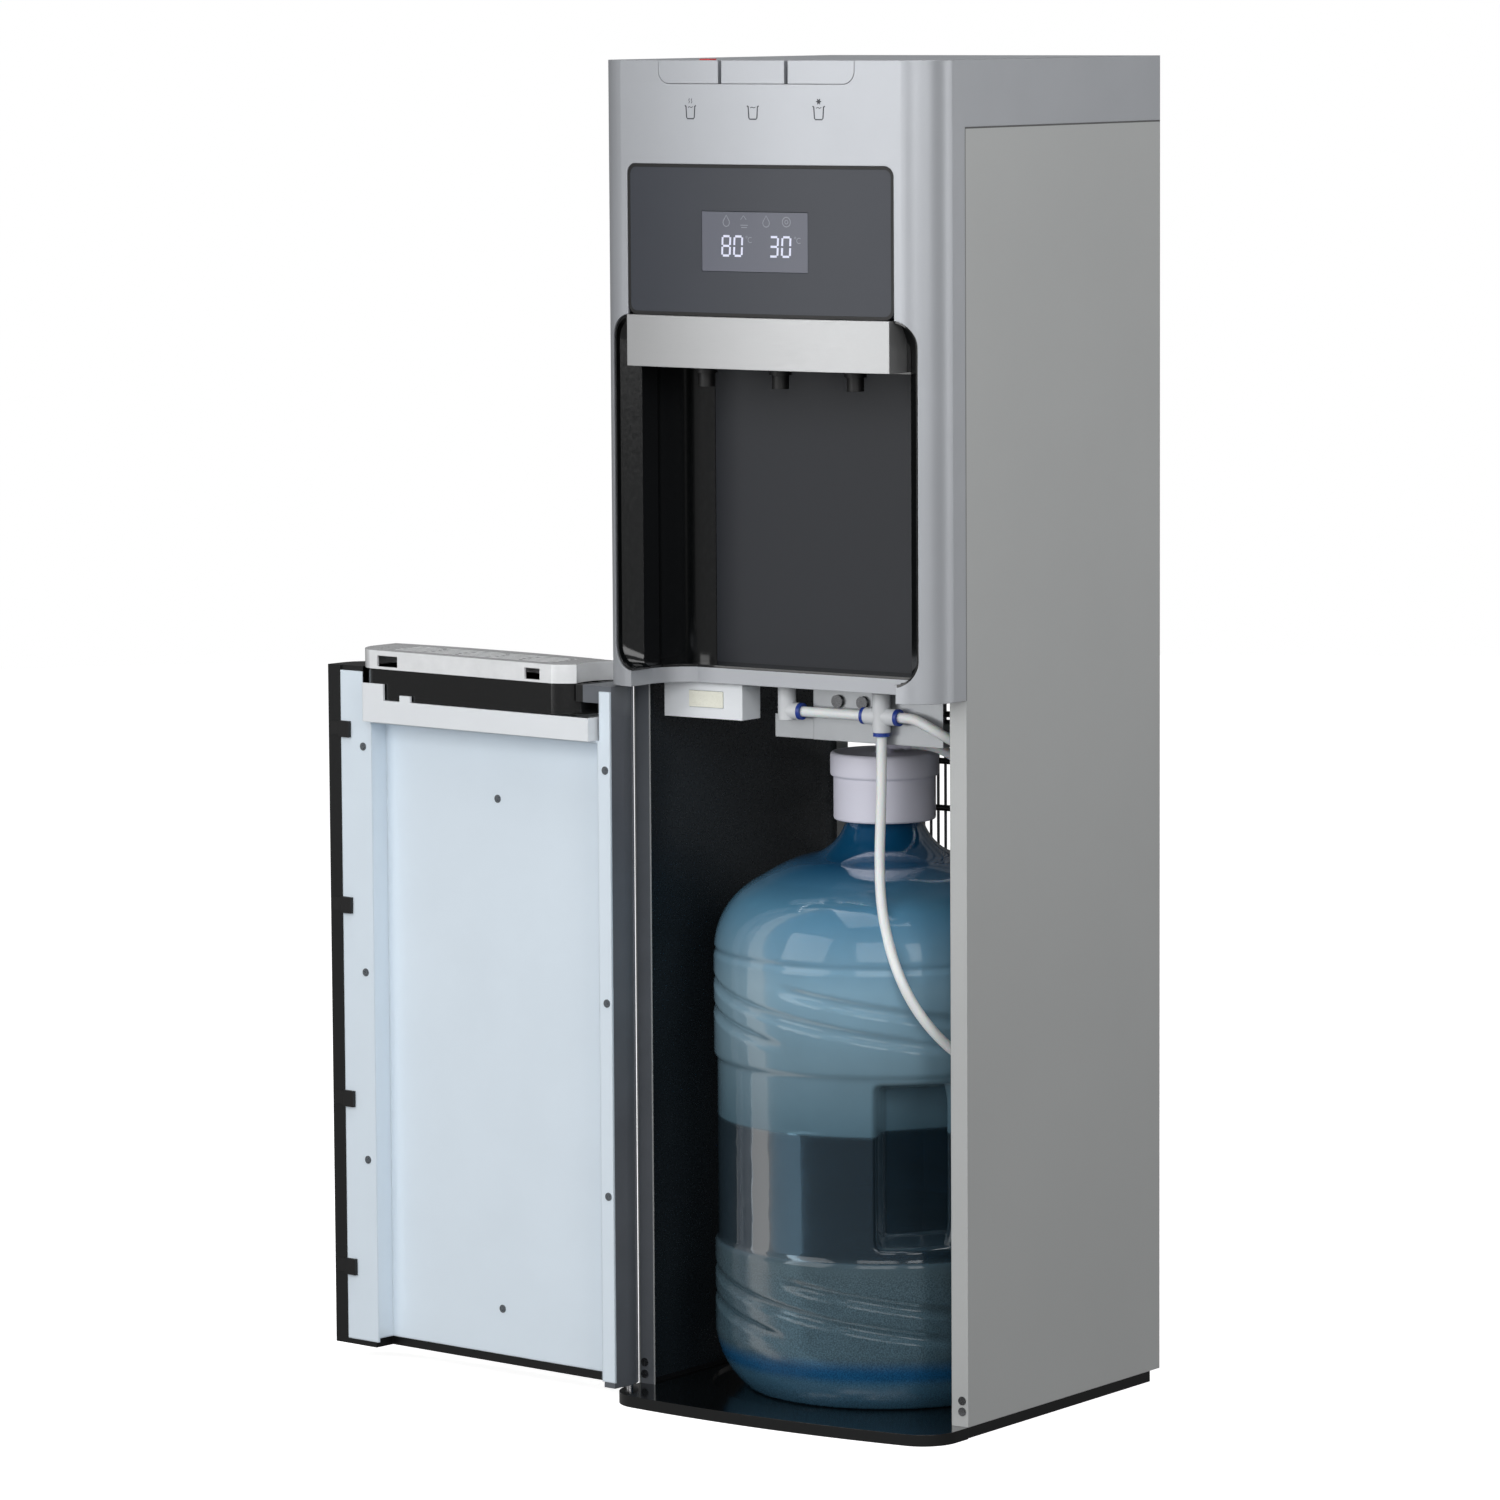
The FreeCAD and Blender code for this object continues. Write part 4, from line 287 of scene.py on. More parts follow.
MATERIALS = {
    "silver_moulding": finish_material(
        "silver_moulding", (176, 179, 184), 0.42, 0.45, mottle=0.02, grain=2600,
        grain_strength=0.1, soft_edge=0.0008, **coat(0.12, 0.25)),
    "side_sheet": sheet_finish("side_sheet"),
    "black_gloss": finish_material(
        "black_gloss", (10, 12, 13), 0.14, mottle=0.2, grain=420, grain_strength=0.03,
        rough_spread=0.04, soft_edge=0.0006, **coat(0.3, 0.06)),
    "black_matte": finish_material(
        "black_matte", (13, 13, 14), 0.5, mottle=0.15, grain=1300, grain_strength=0.3,
        soft_edge=0.0005),
    "dark_grey": finish_material(
        "dark_grey", (62, 66, 70), 0.42, mottle=0.06, grain=1500, grain_strength=0.2,
        soft_edge=0.0005),
    "slate": finish_material(
        "slate", (49, 53, 62), 0.44, mottle=0.03, grain=2200, grain_strength=0.06,
        soft_edge=0.0006),
    "window_grey": finish_material(
        "window_grey", (94, 97, 109), 0.36, mottle=0.03, grain=900, grain_strength=0.04),
    "cover_steel": finish_material(
        "cover_steel", (178, 179, 180), 0.42, 0.75, mottle=0.03, mottle_scale=5, grain=9,
        stretch=(1, 300, 300), grain_strength=0.12, grain_depth=0.00005, rough_spread=0.05,
        soft_edge=0.0006),
    "alcove_back": finish_material(
        "alcove_back", (26, 30, 38), 0.5, mottle=0.03, grain=1600, grain_strength=0.03),
    "liner_white": finish_material(
        "liner_white", (226, 238, 248), 0.38, mottle=0.015, grain=500, grain_strength=0.06,
        wave=0.0003, wave_scale=22, soft_edge=0.002, **coat(0.15, 0.2)),
    "white_plastic": finish_material(
        "white_plastic", (232, 236, 240), 0.38, mottle=0.02, grain=900, soft_edge=0.0008),
    "grille_chrome": finish_material(
        "grille_chrome", (240, 242, 244), 0.2, 0.1, mottle=0.05, mottle_scale=60, grain=800,
        grain_strength=0.12, soft_edge=0.0006, **coat(0.6, 0.06)),
    "cap_lilac": finish_material(
        "cap_lilac", (234, 233, 246), 0.45, mottle=0.02, grain=1100, soft_edge=0.0015),
    "hose_white": finish_material(
        "hose_white", (238, 242, 242), 0.32, mottle=0.02, mottle_scale=60, grain=900,
        **{"Subsurface Weight": 0.2, "Subsurface Scale": 0.002}),
    "ring_blue": finish_material(
        "ring_blue", (32, 62, 150), 0.35, mottle=0.08, grain=1200),
    "fitting_grey": finish_material(
        "fitting_grey", (214, 217, 220), 0.4, mottle=0.03, grain=1200, soft_edge=0.001),
    "bracket_grey": finish_material(
        "bracket_grey", (166, 169, 172), 0.34, 0.6, mottle=0.06, mottle_scale=24, grain=600,
        grain_strength=0.06, soft_edge=0.0008),
    "steel": finish_material(
        "steel", (186, 186, 188), 0.26, 1.0, mottle=0.08, mottle_scale=200, grain=900),
    "zinc": finish_material(
        "zinc", (170, 172, 174), 0.38, 0.9, mottle=0.14, mottle_scale=45, grain=400),
    "condenser_black": finish_material(
        "condenser_black", (20, 20, 22), 0.4, mottle=0.15, mottle_scale=80, grain=1100),
    "copper": finish_material(
        "copper", (196, 118, 82), 0.3, 1.0, mottle=0.14, mottle_scale=60, grain=700),
    "foam": finish_material(
        "foam", (222, 214, 190), 0.85, mottle=0.06, mottle_scale=90, grain=380,
        grain_strength=0.6, grain_depth=0.0003),
    "rubber_black": finish_material(
        "rubber_black", (20, 20, 21), 0.7, mottle=0.12, grain=1000, grain_strength=0.4),
    "circuit_green": finish_material(
        "circuit_green", (30, 84, 52), 0.4, mottle=0.12, mottle_scale=120, grain=900),
    "lens_white": finish_material(
        "lens_white", (240, 240, 226), 0.3, mottle=0.03, mottle_scale=80, grain=500,
        wave=0.0004, wave_scale=260),
    "lock_red": finish_material(
        "lock_red", (196, 24, 26), 0.35, mottle=0.06, grain=900, soft_edge=0.0006),
    "bottle_blue": bottle_material(),
    "water": finish_material(
        "water", (150, 190, 205), 0.02, mottle=0.03, mottle_scale=18, rough_spread=0.0,
        grain=12, grain_strength=0.1, grain_depth=0.0004,
        **{"Transmission Weight": 1.0, "IOR": 1.33}),
}
# The glossy black liners: colour lifted from black to grey-blue in broad patches, a painted
# sheen standing in for their reflections.
LINER_BLACK_PAINTED_SHEEN = finish_material(
    "liner_black_painted_sheen", (30, 37, 42), 0.3, mottle=0.2, mottle_scale=6, grain=500,
    grain_strength=0.04, wave=0.0004, wave_scale=5)

# Boxes of the part's own frame with another colour, in metres, and their sharp margin. The
# seam, flange and hinge-side boxes are painted shade.
SHARP = 0.00005
FASCIA_LOW, SEAM_SHADE_LOW, SEAM_SHADE_HIGH = 0.565, 0.9938, 0.9952
SHEET_FRONT_SHADE = ("Y", -0.1378, -0.1366)
LEFT_FLANGE_SHADE = (("X", -0.1538, -0.1408), ("Y", -0.14, -0.1364))
LEFT_BAY_FACE = (("X", -0.1541, -0.13), ("Y", -0.1364, 0.1363))
FRAME_HINGE_SIDE_SHADE = ("X", -0.175, -0.14)


def recolour(item, colour, *limits):
    """Gives a box of the part's own space another colour; limits are axis, low, high."""
    nodes, links = item.node_tree.nodes, item.node_tree.links
    shader = nodes["Principled BSDF"]
    before = shader.inputs["Base Color"].links[0].from_socket
    place = own_place(nodes, links)
    share = None
    for axis, low, high in limits:
        inside = band_mask(nodes, links, place[axis], low, high, SHARP)
        share = inside if share is None else product_of(nodes, links, share, inside)
    mix = nodes.new("ShaderNodeMix")
    mix.data_type = "RGBA"
    links.new(share, mix.inputs["Factor"])
    links.new(before, mix.inputs["A"])
    mottled = ramp(nodes, links, noise_field(nodes, links, 30), *(
        tuple(c * k for c in linear(*colour)) for k in (0.94, 1.06)))
    links.new(mottled, mix.inputs["B"])
    links.new(mix.outputs["Result"], shader.inputs["Base Color"])


def right_sheet():
    """The right side sheet: thin lines of painted shade along its seams against the hood and
    the fascia.
    """
    item = sheet_finish("right_sheet")
    # Painted shade in the seam gaps: a dark band under the hood and a grey line down the front
    # edge beside the fascia.
    recolour(item, (96, 97, 97), ("Z", SEAM_SHADE_LOW, SEAM_SHADE_HIGH))
    recolour(item, (128, 129, 128), SHEET_FRONT_SHADE, ("Z", FASCIA_LOW, SEAM_SHADE_LOW))
    return item


def left_sheet():
    """The left side sheet: dark inside the bay, and painted shade on the bent edge behind the
    open door.
    """
    item = sheet_finish("left_sheet")
    # Painted shade: the bent front edge darkened where the open door shades it.
    recolour(item, (112, 116, 122), *LEFT_FLANGE_SHADE)
    recolour(item, (14, 15, 17), *LEFT_BAY_FACE)
    return item


def frame_finish():
    """The door frame: black round the free side, and dark grey painted shade on its side
    beside the hinge.
    """
    item = finish_material(
        "frame_black", (15, 16, 17), 0.36, mottle=0.12, grain=1500, grain_strength=0.15,
        soft_edge=0.0005)
    # Painted shade: the door's side beside the hinge, shaded by the cabinet, painted dark
    # grey.
    recolour(item, (96, 100, 106), FRAME_HINGE_SIDE_SHADE)
    return item


OWN_FINISH = {
    "left_liner": LINER_BLACK_PAINTED_SHEEN,
    "right_liner": LINER_BLACK_PAINTED_SHEEN,
    "left_side_panel": left_sheet(),
    "right_side_panel": right_sheet(),
    "door_frame": frame_finish(),
    "drip_basin": finish_material(
        "basin_black", (9, 10, 11), 0.2, mottle=0.15, grain=900, grain_strength=0.06,
        soft_edge=0.0008, **coat(0.4, 0.08)),
    "condenser_wires": finish_material(
        "wire_grey", (84, 85, 88), 0.4, mottle=0.15, mottle_scale=80, grain=1100),
    "door_screws": finish_material(
        "screw_grey", (112, 118, 124), 0.3, 0.6, mottle=0.1, mottle_scale=200, grain=900),
    "cabinet_screws": finish_material(
        "screw_dark", (92, 93, 95), 0.26, 0.9, mottle=0.1, mottle_scale=200, grain=900),
}
for row in frame["record"]["subparts"]:
    wanted = OWN_FINISH.get(row["node"], MATERIALS[row["material_slot"]])
    for place in NODES[row["node"]].material_slots:
        place.link = "OBJECT"
        place.material = wanted

DIGIT_GLOW = finish_material(
    "digit_glow", (212, 214, 234), 0.4, mottle=0.04, mottle_scale=300, grain=900,
    **{"Emission Color": (0.72, 0.74, 0.86, 1), "Emission Strength": 0.16})
ICON_FAINT = finish_material(
    "icon_faint", (140, 143, 152), 0.4, mottle=0.05, mottle_scale=300, grain=900)
PRINT_GREY = finish_material(
    "print_grey", (58, 60, 66), 0.5, mottle=0.08, mottle_scale=300, grain=1500)


# ---------------------------------------------------------------- mesh helpers
def mesh_piece(name, verts, faces, body, material, smooth=True):
    """A mesh object that rides on a body and fills one material slot of the part."""
    data = bpy.data.meshes.new(name)
    data.from_pydata([tuple(v) for v in verts], [], faces)
    data.validate()
    data.polygons.foreach_set("use_smooth", [smooth] * len(data.polygons))
    data.materials.append(material)
    data.update()
    item = bpy.data.objects.new(name, data)
    bpy.context.scene.collection.objects.link(item)
    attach(item, body)
    return item


def ring_surface(rows, closed_low=False, closed_high=False):
    """Faces between equal rings of points; the ends may be closed with a flat face."""
    count = len(rows[0])
    verts = [point for ring in rows for point in ring]
    faces = []
    for i in range(len(rows) - 1):
        for j in range(count):
            after = (j + 1) % count
            faces.append((i * count + j, i * count + after, (i + 1) * count + after,
                          (i + 1) * count + j))
    if closed_low:
        faces.append(tuple(reversed(range(count))))
    if closed_high:
        faces.append(tuple(range((len(rows) - 1) * count, len(rows) * count)))
    return verts, faces


def add_surface(verts, faces, more, sides, flip=False):
    """Appends one surface to a mesh's lists, with its faces turned round on request."""
    start = len(verts)
    verts += more
    faces += [tuple(start + i for i in (reversed(side) if flip else side))
              for side in sides]


def smoothstep(value, low, high):
    """0 at low and 1 at high, with level ends."""
    t = min(1.0, max(0.0, (value - low) / (high - low)))
    return t * t * (3 - 2 * t)


# ---------------------------------------------------------------- hose, in millimetres
HOSE_ROUTE = ((58, -108.5, 533), (58, -108.5, 500), (56.5, -108, 465), (56.5, -110, 432),
              (62, -116, 400), (76, -126, 371), (89, -129.5, 346), (100, -124, 323),
              (111.5, -112, 302), (123.5, -95, 284), (134, -72, 270), (142.5, -44, 262),
              (146, -14, 264), (144, 16, 278), (135, 44, 302), (122, 67, 334),
              (107, 76, 370), (86, 62, 405), (75, 44, 438), (74, 18, 471), (73, 2.5, 489),
              (65.5, -8.5, 501.5), (54, -15.5, 510), (41, -19, 514), (27, -19, 514))
HOSE_DIAMETER = 0.008  # metres, like the length


def make_hose():
    data = bpy.data.curves.new("supply_hose_line", "CURVE")
    data.dimensions = "3D"
    data.bevel_depth = HOSE_DIAMETER / 2
    data.bevel_resolution = 8
    data.resolution_u = 12
    data.use_fill_caps = True
    spline = data.splines.new("NURBS")
    spline.points.add(len(HOSE_ROUTE) - 1)
    for point, spot in zip(spline.points, HOSE_ROUTE):
        point.co = (*mm(*spot), 1)
    spline.order_u = 3
    spline.use_endpoint_u = True
    data.materials.append(MATERIALS["hose_white"])
    hose = bpy.data.objects.new("supply_hose_line", data)
    bpy.context.scene.collection.objects.link(hose)
    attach(hose, "cabinet")
    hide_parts("supply_hose")


make_hose()


# ---------------------------------------------------------------- bottle, in millimetres
BOTTLE_Y = -19.0
BOTTLE_RADIUS = 134.5
BOTTLE_WALL = 1.5
BOTTLE_TURNS = 288
FOOT_HEIGHT = 30
BODY_LOW, BODY_STEP, BODY_STEPS = 53, 4, 73
SHOULDER_LOW = (BOTTLE_RADIUS, 345)
SHOULDER_MIDDLE = (96, 409)
SHOULDER_TOP = (64, 424)
NECK_LOW = (31, 450)
LONG_STEP = 2.4

# The first groove of a band starts at GROOVE_START degrees. Each falls by GROOVE_FALL per
# radian of its turn, and grows in and fades out over these stretches of it.
GROOVE_TOPS, GROOVES_EACH, GROOVE_START, GROOVE_FALL = (108, 335), 6, -66, 21
GROOVE_RISE, GROOVE_FADE = (0, 0.25), (1.9, 2.25)
GROOVE_HALF_WIDTH, GROOVE_DEPTH = 5.0, 3.4
WAIST_LOW, WAIST_HIGH, WAIST_DEPTH = (122, 128), (267, 272), 2.6
LEDGE_HEIGHT, LEDGE_SPREAD, LEDGE_DEPTH = 353, 2.6, 1.6
GRIP_HEADING, NOTCH_TURN = math.radians(55), 0.75
NOTCH_LOW, NOTCH_HIGH, NOTCH_SIDE = (134, 144), (256, 265), (48, 56)
NOTCH_FLOOR = 92.5

WATER_LEVEL = 224.0
WATER_GAP = 0.3
WATER_RIM = 1.6
WATER_EDGE = ((0.0, 0.0), (1.2, 1.2), (3.0, 1.9), (6.0, 2.2))


def arc_points(start, stop, rise, count):
    """Points of a flat arc from start to stop that bulges by rise, without the last one."""
    (r0, z0), (r1, z1) = start, stop
    out = []
    length = math.hypot(r1 - r0, z1 - z0)
    nr, nz = (z1 - z0) / length, -(r1 - r0) / length
    for i in range(count):
        t = i / count
        bulge = rise * 4 * t * (1 - t)
        out.append((r0 + (r1 - r0) * t + nr * bulge, z0 + (z1 - z0) * t + nz * bulge))
    return out


def bottle_outline():
    """Half profile of the smooth bottle as (radius, height), from the base to the neck."""
    points = [(60, 7.6), (104, 7.3)]
    points += arc_points((110, 7.6), (BOTTLE_RADIUS, BODY_LOW), 5, 12)
    points += [(BOTTLE_RADIUS, BODY_LOW + BODY_STEP * i) for i in range(BODY_STEPS)]
    points += arc_points(SHOULDER_LOW, SHOULDER_MIDDLE, 12, 26)
    points += arc_points(SHOULDER_MIDDLE, SHOULDER_TOP, 1.5, 8)
    points += arc_points(SHOULDER_TOP, NECK_LOW, -6, 12)
    points += [(29.6, 453), (29.0, 458), (29.0, 470), (29.0, 488)]
    return points


def groove_pull(height, heading):
    """How far the slanted grooves draw the wall in; each runs about a third of a turn."""
    pull = 0.0
    span = GROOVE_FALL * GROOVE_FADE[1] + GROOVE_HALF_WIDTH
    for top in GROOVE_TOPS:
        if not top - span < height < top + GROOVE_HALF_WIDTH:
            continue
        for k in range(GROOVES_EACH):
            begin = math.radians(GROOVE_START + 360 / GROOVES_EACH * k)
            along = (heading - begin) % (2 * math.pi)
            if along > math.pi * 1.5:
                along -= 2 * math.pi
            middle = top - GROOVE_FALL * along
            ends = smoothstep(along, *GROOVE_RISE) * (1 - smoothstep(along, *GROOVE_FADE))
            across = abs(height - middle) / GROOVE_HALF_WIDTH
            if across < 1:
                pull = max(pull, GROOVE_DEPTH * ends * (1 - across * across))
    return pull


def bottle_reach(radius, height, heading):
    """Radius of the wall at a height and heading, with grooves, waist and grip notch."""
    waist = smoothstep(height, *WAIST_LOW) * (1 - smoothstep(height, *WAIST_HIGH))
    reach = radius - WAIST_DEPTH * waist
    reach -= LEDGE_DEPTH * math.exp(-((height - LEDGE_HEIGHT) / LEDGE_SPREAD) ** 2)
    reach -= groove_pull(height, heading)
    turn = (heading - GRIP_HEADING + math.pi) % (2 * math.pi) - math.pi
    if abs(turn) < NOTCH_TURN:
        across = abs(reach * math.sin(turn))
        floor = NOTCH_FLOOR / math.cos(turn)
        share = (1 - smoothstep(across, *NOTCH_SIDE)) * smoothstep(height, *NOTCH_LOW)
        share *= 1 - smoothstep(height, *NOTCH_HIGH)
        reach -= max(0.0, reach - floor) * share
    return reach


def bottle_ring(radius, height, inset, level):
    """One ring of the wall at a profile height, set in by inset and placed at level."""
    ring = []
    for j in range(BOTTLE_TURNS):
        heading = 2 * math.pi * j / BOTTLE_TURNS
        reach = bottle_reach(radius, height, heading) - inset
        ring.append(mm(reach * math.sin(heading), BOTTLE_Y - reach * math.cos(heading), level))
    return ring


def bottle_rings(inset, top=math.inf):
    """Rings from the base up to a height; the base of an inner wall lies higher."""
    outline = bottle_outline()
    dense = []
    for (r0, z0), (r1, z1) in zip(outline, outline[1:]):
        steps = 2 if z1 - z0 > LONG_STEP else 1
        dense += [(r0 + (r1 - r0) * i / steps, z0 + (z1 - z0) * i / steps)
                  for i in range(steps)]
    dense.append(outline[-1])
    return [bottle_ring(radius, height, inset, height + (inset if height < FOOT_HEIGHT else 0))
            for radius, height in dense if height <= top]


def make_bottle():
    """The wall, an outer and an inner skin joined at the neck's rim, and the water in it."""
    count = BOTTLE_TURNS
    outer = [list(reversed(ring)) for ring in bottle_rings(0)]
    verts, faces = ring_surface(outer, closed_low=True)
    last_outer = len(verts) - count
    add_surface(verts, faces, *ring_surface(bottle_rings(BOTTLE_WALL), closed_low=True))
    last_inner = len(verts) - count
    for j in range(count):
        after = (j + 1) % count
        faces.append((last_outer + count - 1 - j, last_outer + count - 1 - after,
                      last_inner + after, last_inner + j))
    bottle = mesh_piece("bottle_wall", verts, faces, "cabinet",
                        MATERIALS["bottle_blue"])
    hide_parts("bottle")

    skin = BOTTLE_WALL - WATER_GAP
    rows = bottle_rings(skin, WATER_LEVEL - 2)
    rows += [bottle_ring(BOTTLE_RADIUS, WATER_LEVEL, skin + step,
                         WATER_LEVEL + WATER_RIM - drop) for step, drop in WATER_EDGE]
    rows = [list(reversed(ring)) for ring in rows]
    verts, faces = ring_surface(rows, closed_low=True, closed_high=True)
    water = mesh_piece("bottle_fill", verts, faces, "cabinet", MATERIALS["water"])
    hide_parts("bottle_water")


make_bottle()


BAR_HEADING = GRIP_HEADING + math.radians(8)
BAR_LOW, BAR_HIGH, BAR_REACH = 135.0, 265.0, 118.5
BAR_HALF_DEPTH, BAR_HALF_WIDTH = 9.0, 10.5
FLARE, FLARE_LENGTH = 4.5, 22


def make_grip():
    """The upright bar of the bottle's grip, flared where it runs into the notch's ends."""
    heading, steps, count = BAR_HEADING, 26, 32
    rows = []
    for i in range(steps + 1):
        height = BAR_LOW + (BAR_HIGH - BAR_LOW) * i / steps
        edge = min(height - BAR_LOW, BAR_HIGH - height) / FLARE_LENGTH
        flare = FLARE * max(0.0, 1 - edge) ** 2
        ring = []
        for j in range(count):
            turn = 2 * math.pi * j / count
            out = BAR_REACH + (BAR_HALF_DEPTH + flare * 0.3) * math.cos(turn)
            side = (BAR_HALF_WIDTH + flare) * math.sin(turn)
            ring.append(mm(out * math.sin(heading) + side * math.cos(heading),
                           BOTTLE_Y - out * math.cos(heading) + side * math.sin(heading),
                           height))
        rows.append(ring)
    verts, faces = ring_surface(rows, closed_low=True, closed_high=True)
    grip = mesh_piece("bottle_grip", verts, faces, "cabinet",
                      MATERIALS["bottle_blue"])
    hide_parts("bottle")


make_grip()


# ---------------------------------------------------------------- cap, as radius and height
CAP_OUTSIDE = ((29.5, 454.2), (38.6, 454.0), (39.6, 454.6), (40.0, 456.0), (40.0, 487.2),
               (40.3, 488.0), (41.6, 488.6), (42.3, 489.2), (42.5, 490.2), (42.5, 504.0),
               (42.2, 505.6), (41.2, 506.7), (39.6, 507.0), (38.2, 506.8), (37.2, 506.1),
               (36.0, 505.7), (9.4, 505.7), (7.6, 506.2), (7.0, 507.6), (6.9, 517.0),
               (6.2, 518.6), (4.6, 519.0))
CAP_INSIDE = ((29.5, 454.2), (29.5, 490.6), (28.0, 490.9), (4.6, 490.9))
BARB_HEIGHT = 514
BARB = ((0.0, 5.2), (4.0, 5.2), (7.0, 5.4), (13.0, 5.4), (13.6, 4.9), (19.0, 4.6),
        (19.4, 5.0), (24.0, 4.3), (26.5, 4.1))
CAP_TURNS, BARB_TURNS = 96, 32


def make_cap():
    """A turned two-step cap with a soft rim, its port and the ribbed outlet."""
    verts, faces = [], []
    for profile, outward in ((CAP_OUTSIDE, True), (CAP_INSIDE, False)):
        rows = [[mm(r * math.cos(2 * math.pi * j / CAP_TURNS),
                    BOTTLE_Y + r * math.sin(2 * math.pi * j / CAP_TURNS), z)
                 for j in range(CAP_TURNS)] for r, z in profile]
        add_surface(verts, faces, *ring_surface(rows, closed_high=True), flip=not outward)
    rows = [[mm(x, BOTTLE_Y + r * math.cos(2 * math.pi * j / BARB_TURNS),
                BARB_HEIGHT + r * math.sin(2 * math.pi * j / BARB_TURNS))
             for j in range(BARB_TURNS)] for x, r in BARB]
    add_surface(verts, faces, *ring_surface(rows, closed_low=True, closed_high=True))
    cap = mesh_piece("cap_shell", verts, faces, "cabinet",
                     MATERIALS["cap_lilac"])
    edges = cap.modifiers.new("edges", "EDGE_SPLIT")
    edges.split_angle = math.radians(50)
    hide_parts("bottle_cap")


make_cap()


# ---------------------------------------------------------------- marks, in millimetres
HALF_WIDTH = 155
FRONT_EDGE = -180.5
BOW_RISE = 12.0
PANEL_INSET, WINDOW_INSET = 0.6, 0.8
MARK_SINK = 0.15


def bow_front(x, inset):
    """Y of the bowed front at x, for a face set back by inset."""
    half = HALF_WIDTH - inset
    radius = (half * half + BOW_RISE * BOW_RISE) / (2 * BOW_RISE)
    return FRONT_EDGE + inset - BOW_RISE + radius - math.sqrt(radius * radius - x * x)


def stroke_mesh(verts, faces, points, width, inset, lift, closed=False):
    """Adds one raised line of the given width that follows the bowed front."""
    count = len(points)
    sides = []
    for i, (x, z) in enumerate(points):
        before = points[i - 1] if i or closed else points[i]
        after = points[(i + 1) % count] if i < count - 1 or closed else points[i]
        run = Vector((after[0] - before[0], after[1] - before[1])).normalized()
        across = Vector((-run.y, run.x)) * width / 2
        sides.append(((x + across.x, z + across.y), (x - across.x, z - across.y)))
    first = len(verts)
    for pair in sides:
        for depth in (-lift, MARK_SINK):
            for x, z in pair:
                verts.append(mm(x, bow_front(x, inset) + depth, z))
    last = count if closed else count - 1
    for i in range(last):
        a, b = first + 4 * i, first + 4 * ((i + 1) % count)
        faces += [(a, b, b + 1, a + 1), (a + 3, b + 3, b + 2, a + 2), (a + 2, b + 2, b, a),
                  (a + 1, b + 1, b + 3, a + 3)]
    if not closed:
        end = first + 4 * (count - 1)
        faces += [(first, first + 1, first + 3, first + 2),
                  (end + 1, end, end + 2, end + 3)]


def marks(name, lines, material, inset, lift=0.12):
    """One piece of raised lines; each line is its points, its width and whether it closes."""
    verts, faces = [], []
    for points, width, closed in lines:
        stroke_mesh(verts, faces, points, width, inset, lift, closed)
    return mesh_piece(name, verts, faces, "cabinet", material, smooth=False)


def circle(x, z, radius, count=20, start=0.0, stop=360.0):
    """Points of a circle, or of an arc between two angles in degrees."""
    closed = stop - start >= 360
    steps = count if closed else count - 1
    turns = [math.radians(start + (stop - start) * i / steps) for i in range(count)]
    return [(x + radius * math.cos(t), z + radius * math.sin(t)) for t in turns]


def spaced(points, step):
    """The points of a closed line, its long sides divided so that they follow the bow."""
    found = []
    for (x0, z0), (x1, z1) in zip(points, points[1:] + points[:1]):
        count = max(1, math.ceil(math.hypot(x1 - x0, z1 - z0) / step))
        found += [(x0 + (x1 - x0) * i / count, z0 + (z1 - z0) * i / count)
                  for i in range(count)]
    return found


SEGMENTS = {"8": "abcdefg", "0": "abcdef", "3": "abcdg"}
SEGMENT_WIDTH, SEGMENT_GAP = 1.7, 0.7
NUMBER_PLACES = (("80", -29.6), ("30", 14.4))
UNIT_PLACES, DROP_PLACES = (-7.2, 37.0), (-25.5, 11.5)
DIGIT_LOW, DIGIT_WIDE, DIGIT_TALL, DIGIT_PITCH = 898.2, 7.2, 14.6, 11.2
OUTLINE_HALF, OUTLINE_LOW, OUTLINE_HIGH, OUTLINE_CORNER = 121.4, 853.3, 965.4, 6.9
OUTLINE_WIDTH, OUTLINE_STEP = 2.6, 5


def seven_segments(digit, left, low, wide, tall, slant=0.6):
    """Lines of one display digit; each bar is its own short stroke."""
    mid = low + tall / 2
    ends = {"a": ((left, low + tall), (left + wide, low + tall)),
            "g": ((left, mid), (left + wide, mid)), "d": ((left, low), (left + wide, low)),
            "f": ((left, mid), (left, low + tall)), "e": ((left, low), (left, mid)),
            "b": ((left + wide, mid), (left + wide, low + tall)),
            "c": ((left + wide, low), (left + wide, mid))}
    lines = []
    for key in SEGMENTS[digit]:
        (x0, z0), (x1, z1) = ends[key]
        dx, dz = (SEGMENT_GAP, 0) if z0 == z1 else (0, SEGMENT_GAP)
        lean0, lean1 = (slant * (z - low) / tall for z in (z0, z1))
        lines.append(([(x0 + dx + lean0, z0 + dz), (x1 - dx + lean1, z1 - dz)],
                      SEGMENT_WIDTH, False))
    return lines


def panel_outline():
    """The closed line just inside the display panel's edge, round at the corners."""
    points = []
    for side, up, start in ((1, 1, 0), (-1, 1, 90), (-1, -1, 180), (1, -1, 270)):
        x = side * (OUTLINE_HALF - OUTLINE_CORNER)
        z = (OUTLINE_HIGH if up > 0 else OUTLINE_LOW) - up * OUTLINE_CORNER
        points += circle(x, z, OUTLINE_CORNER, 7, start, start + 90)
    return spaced(points, OUTLINE_STEP)


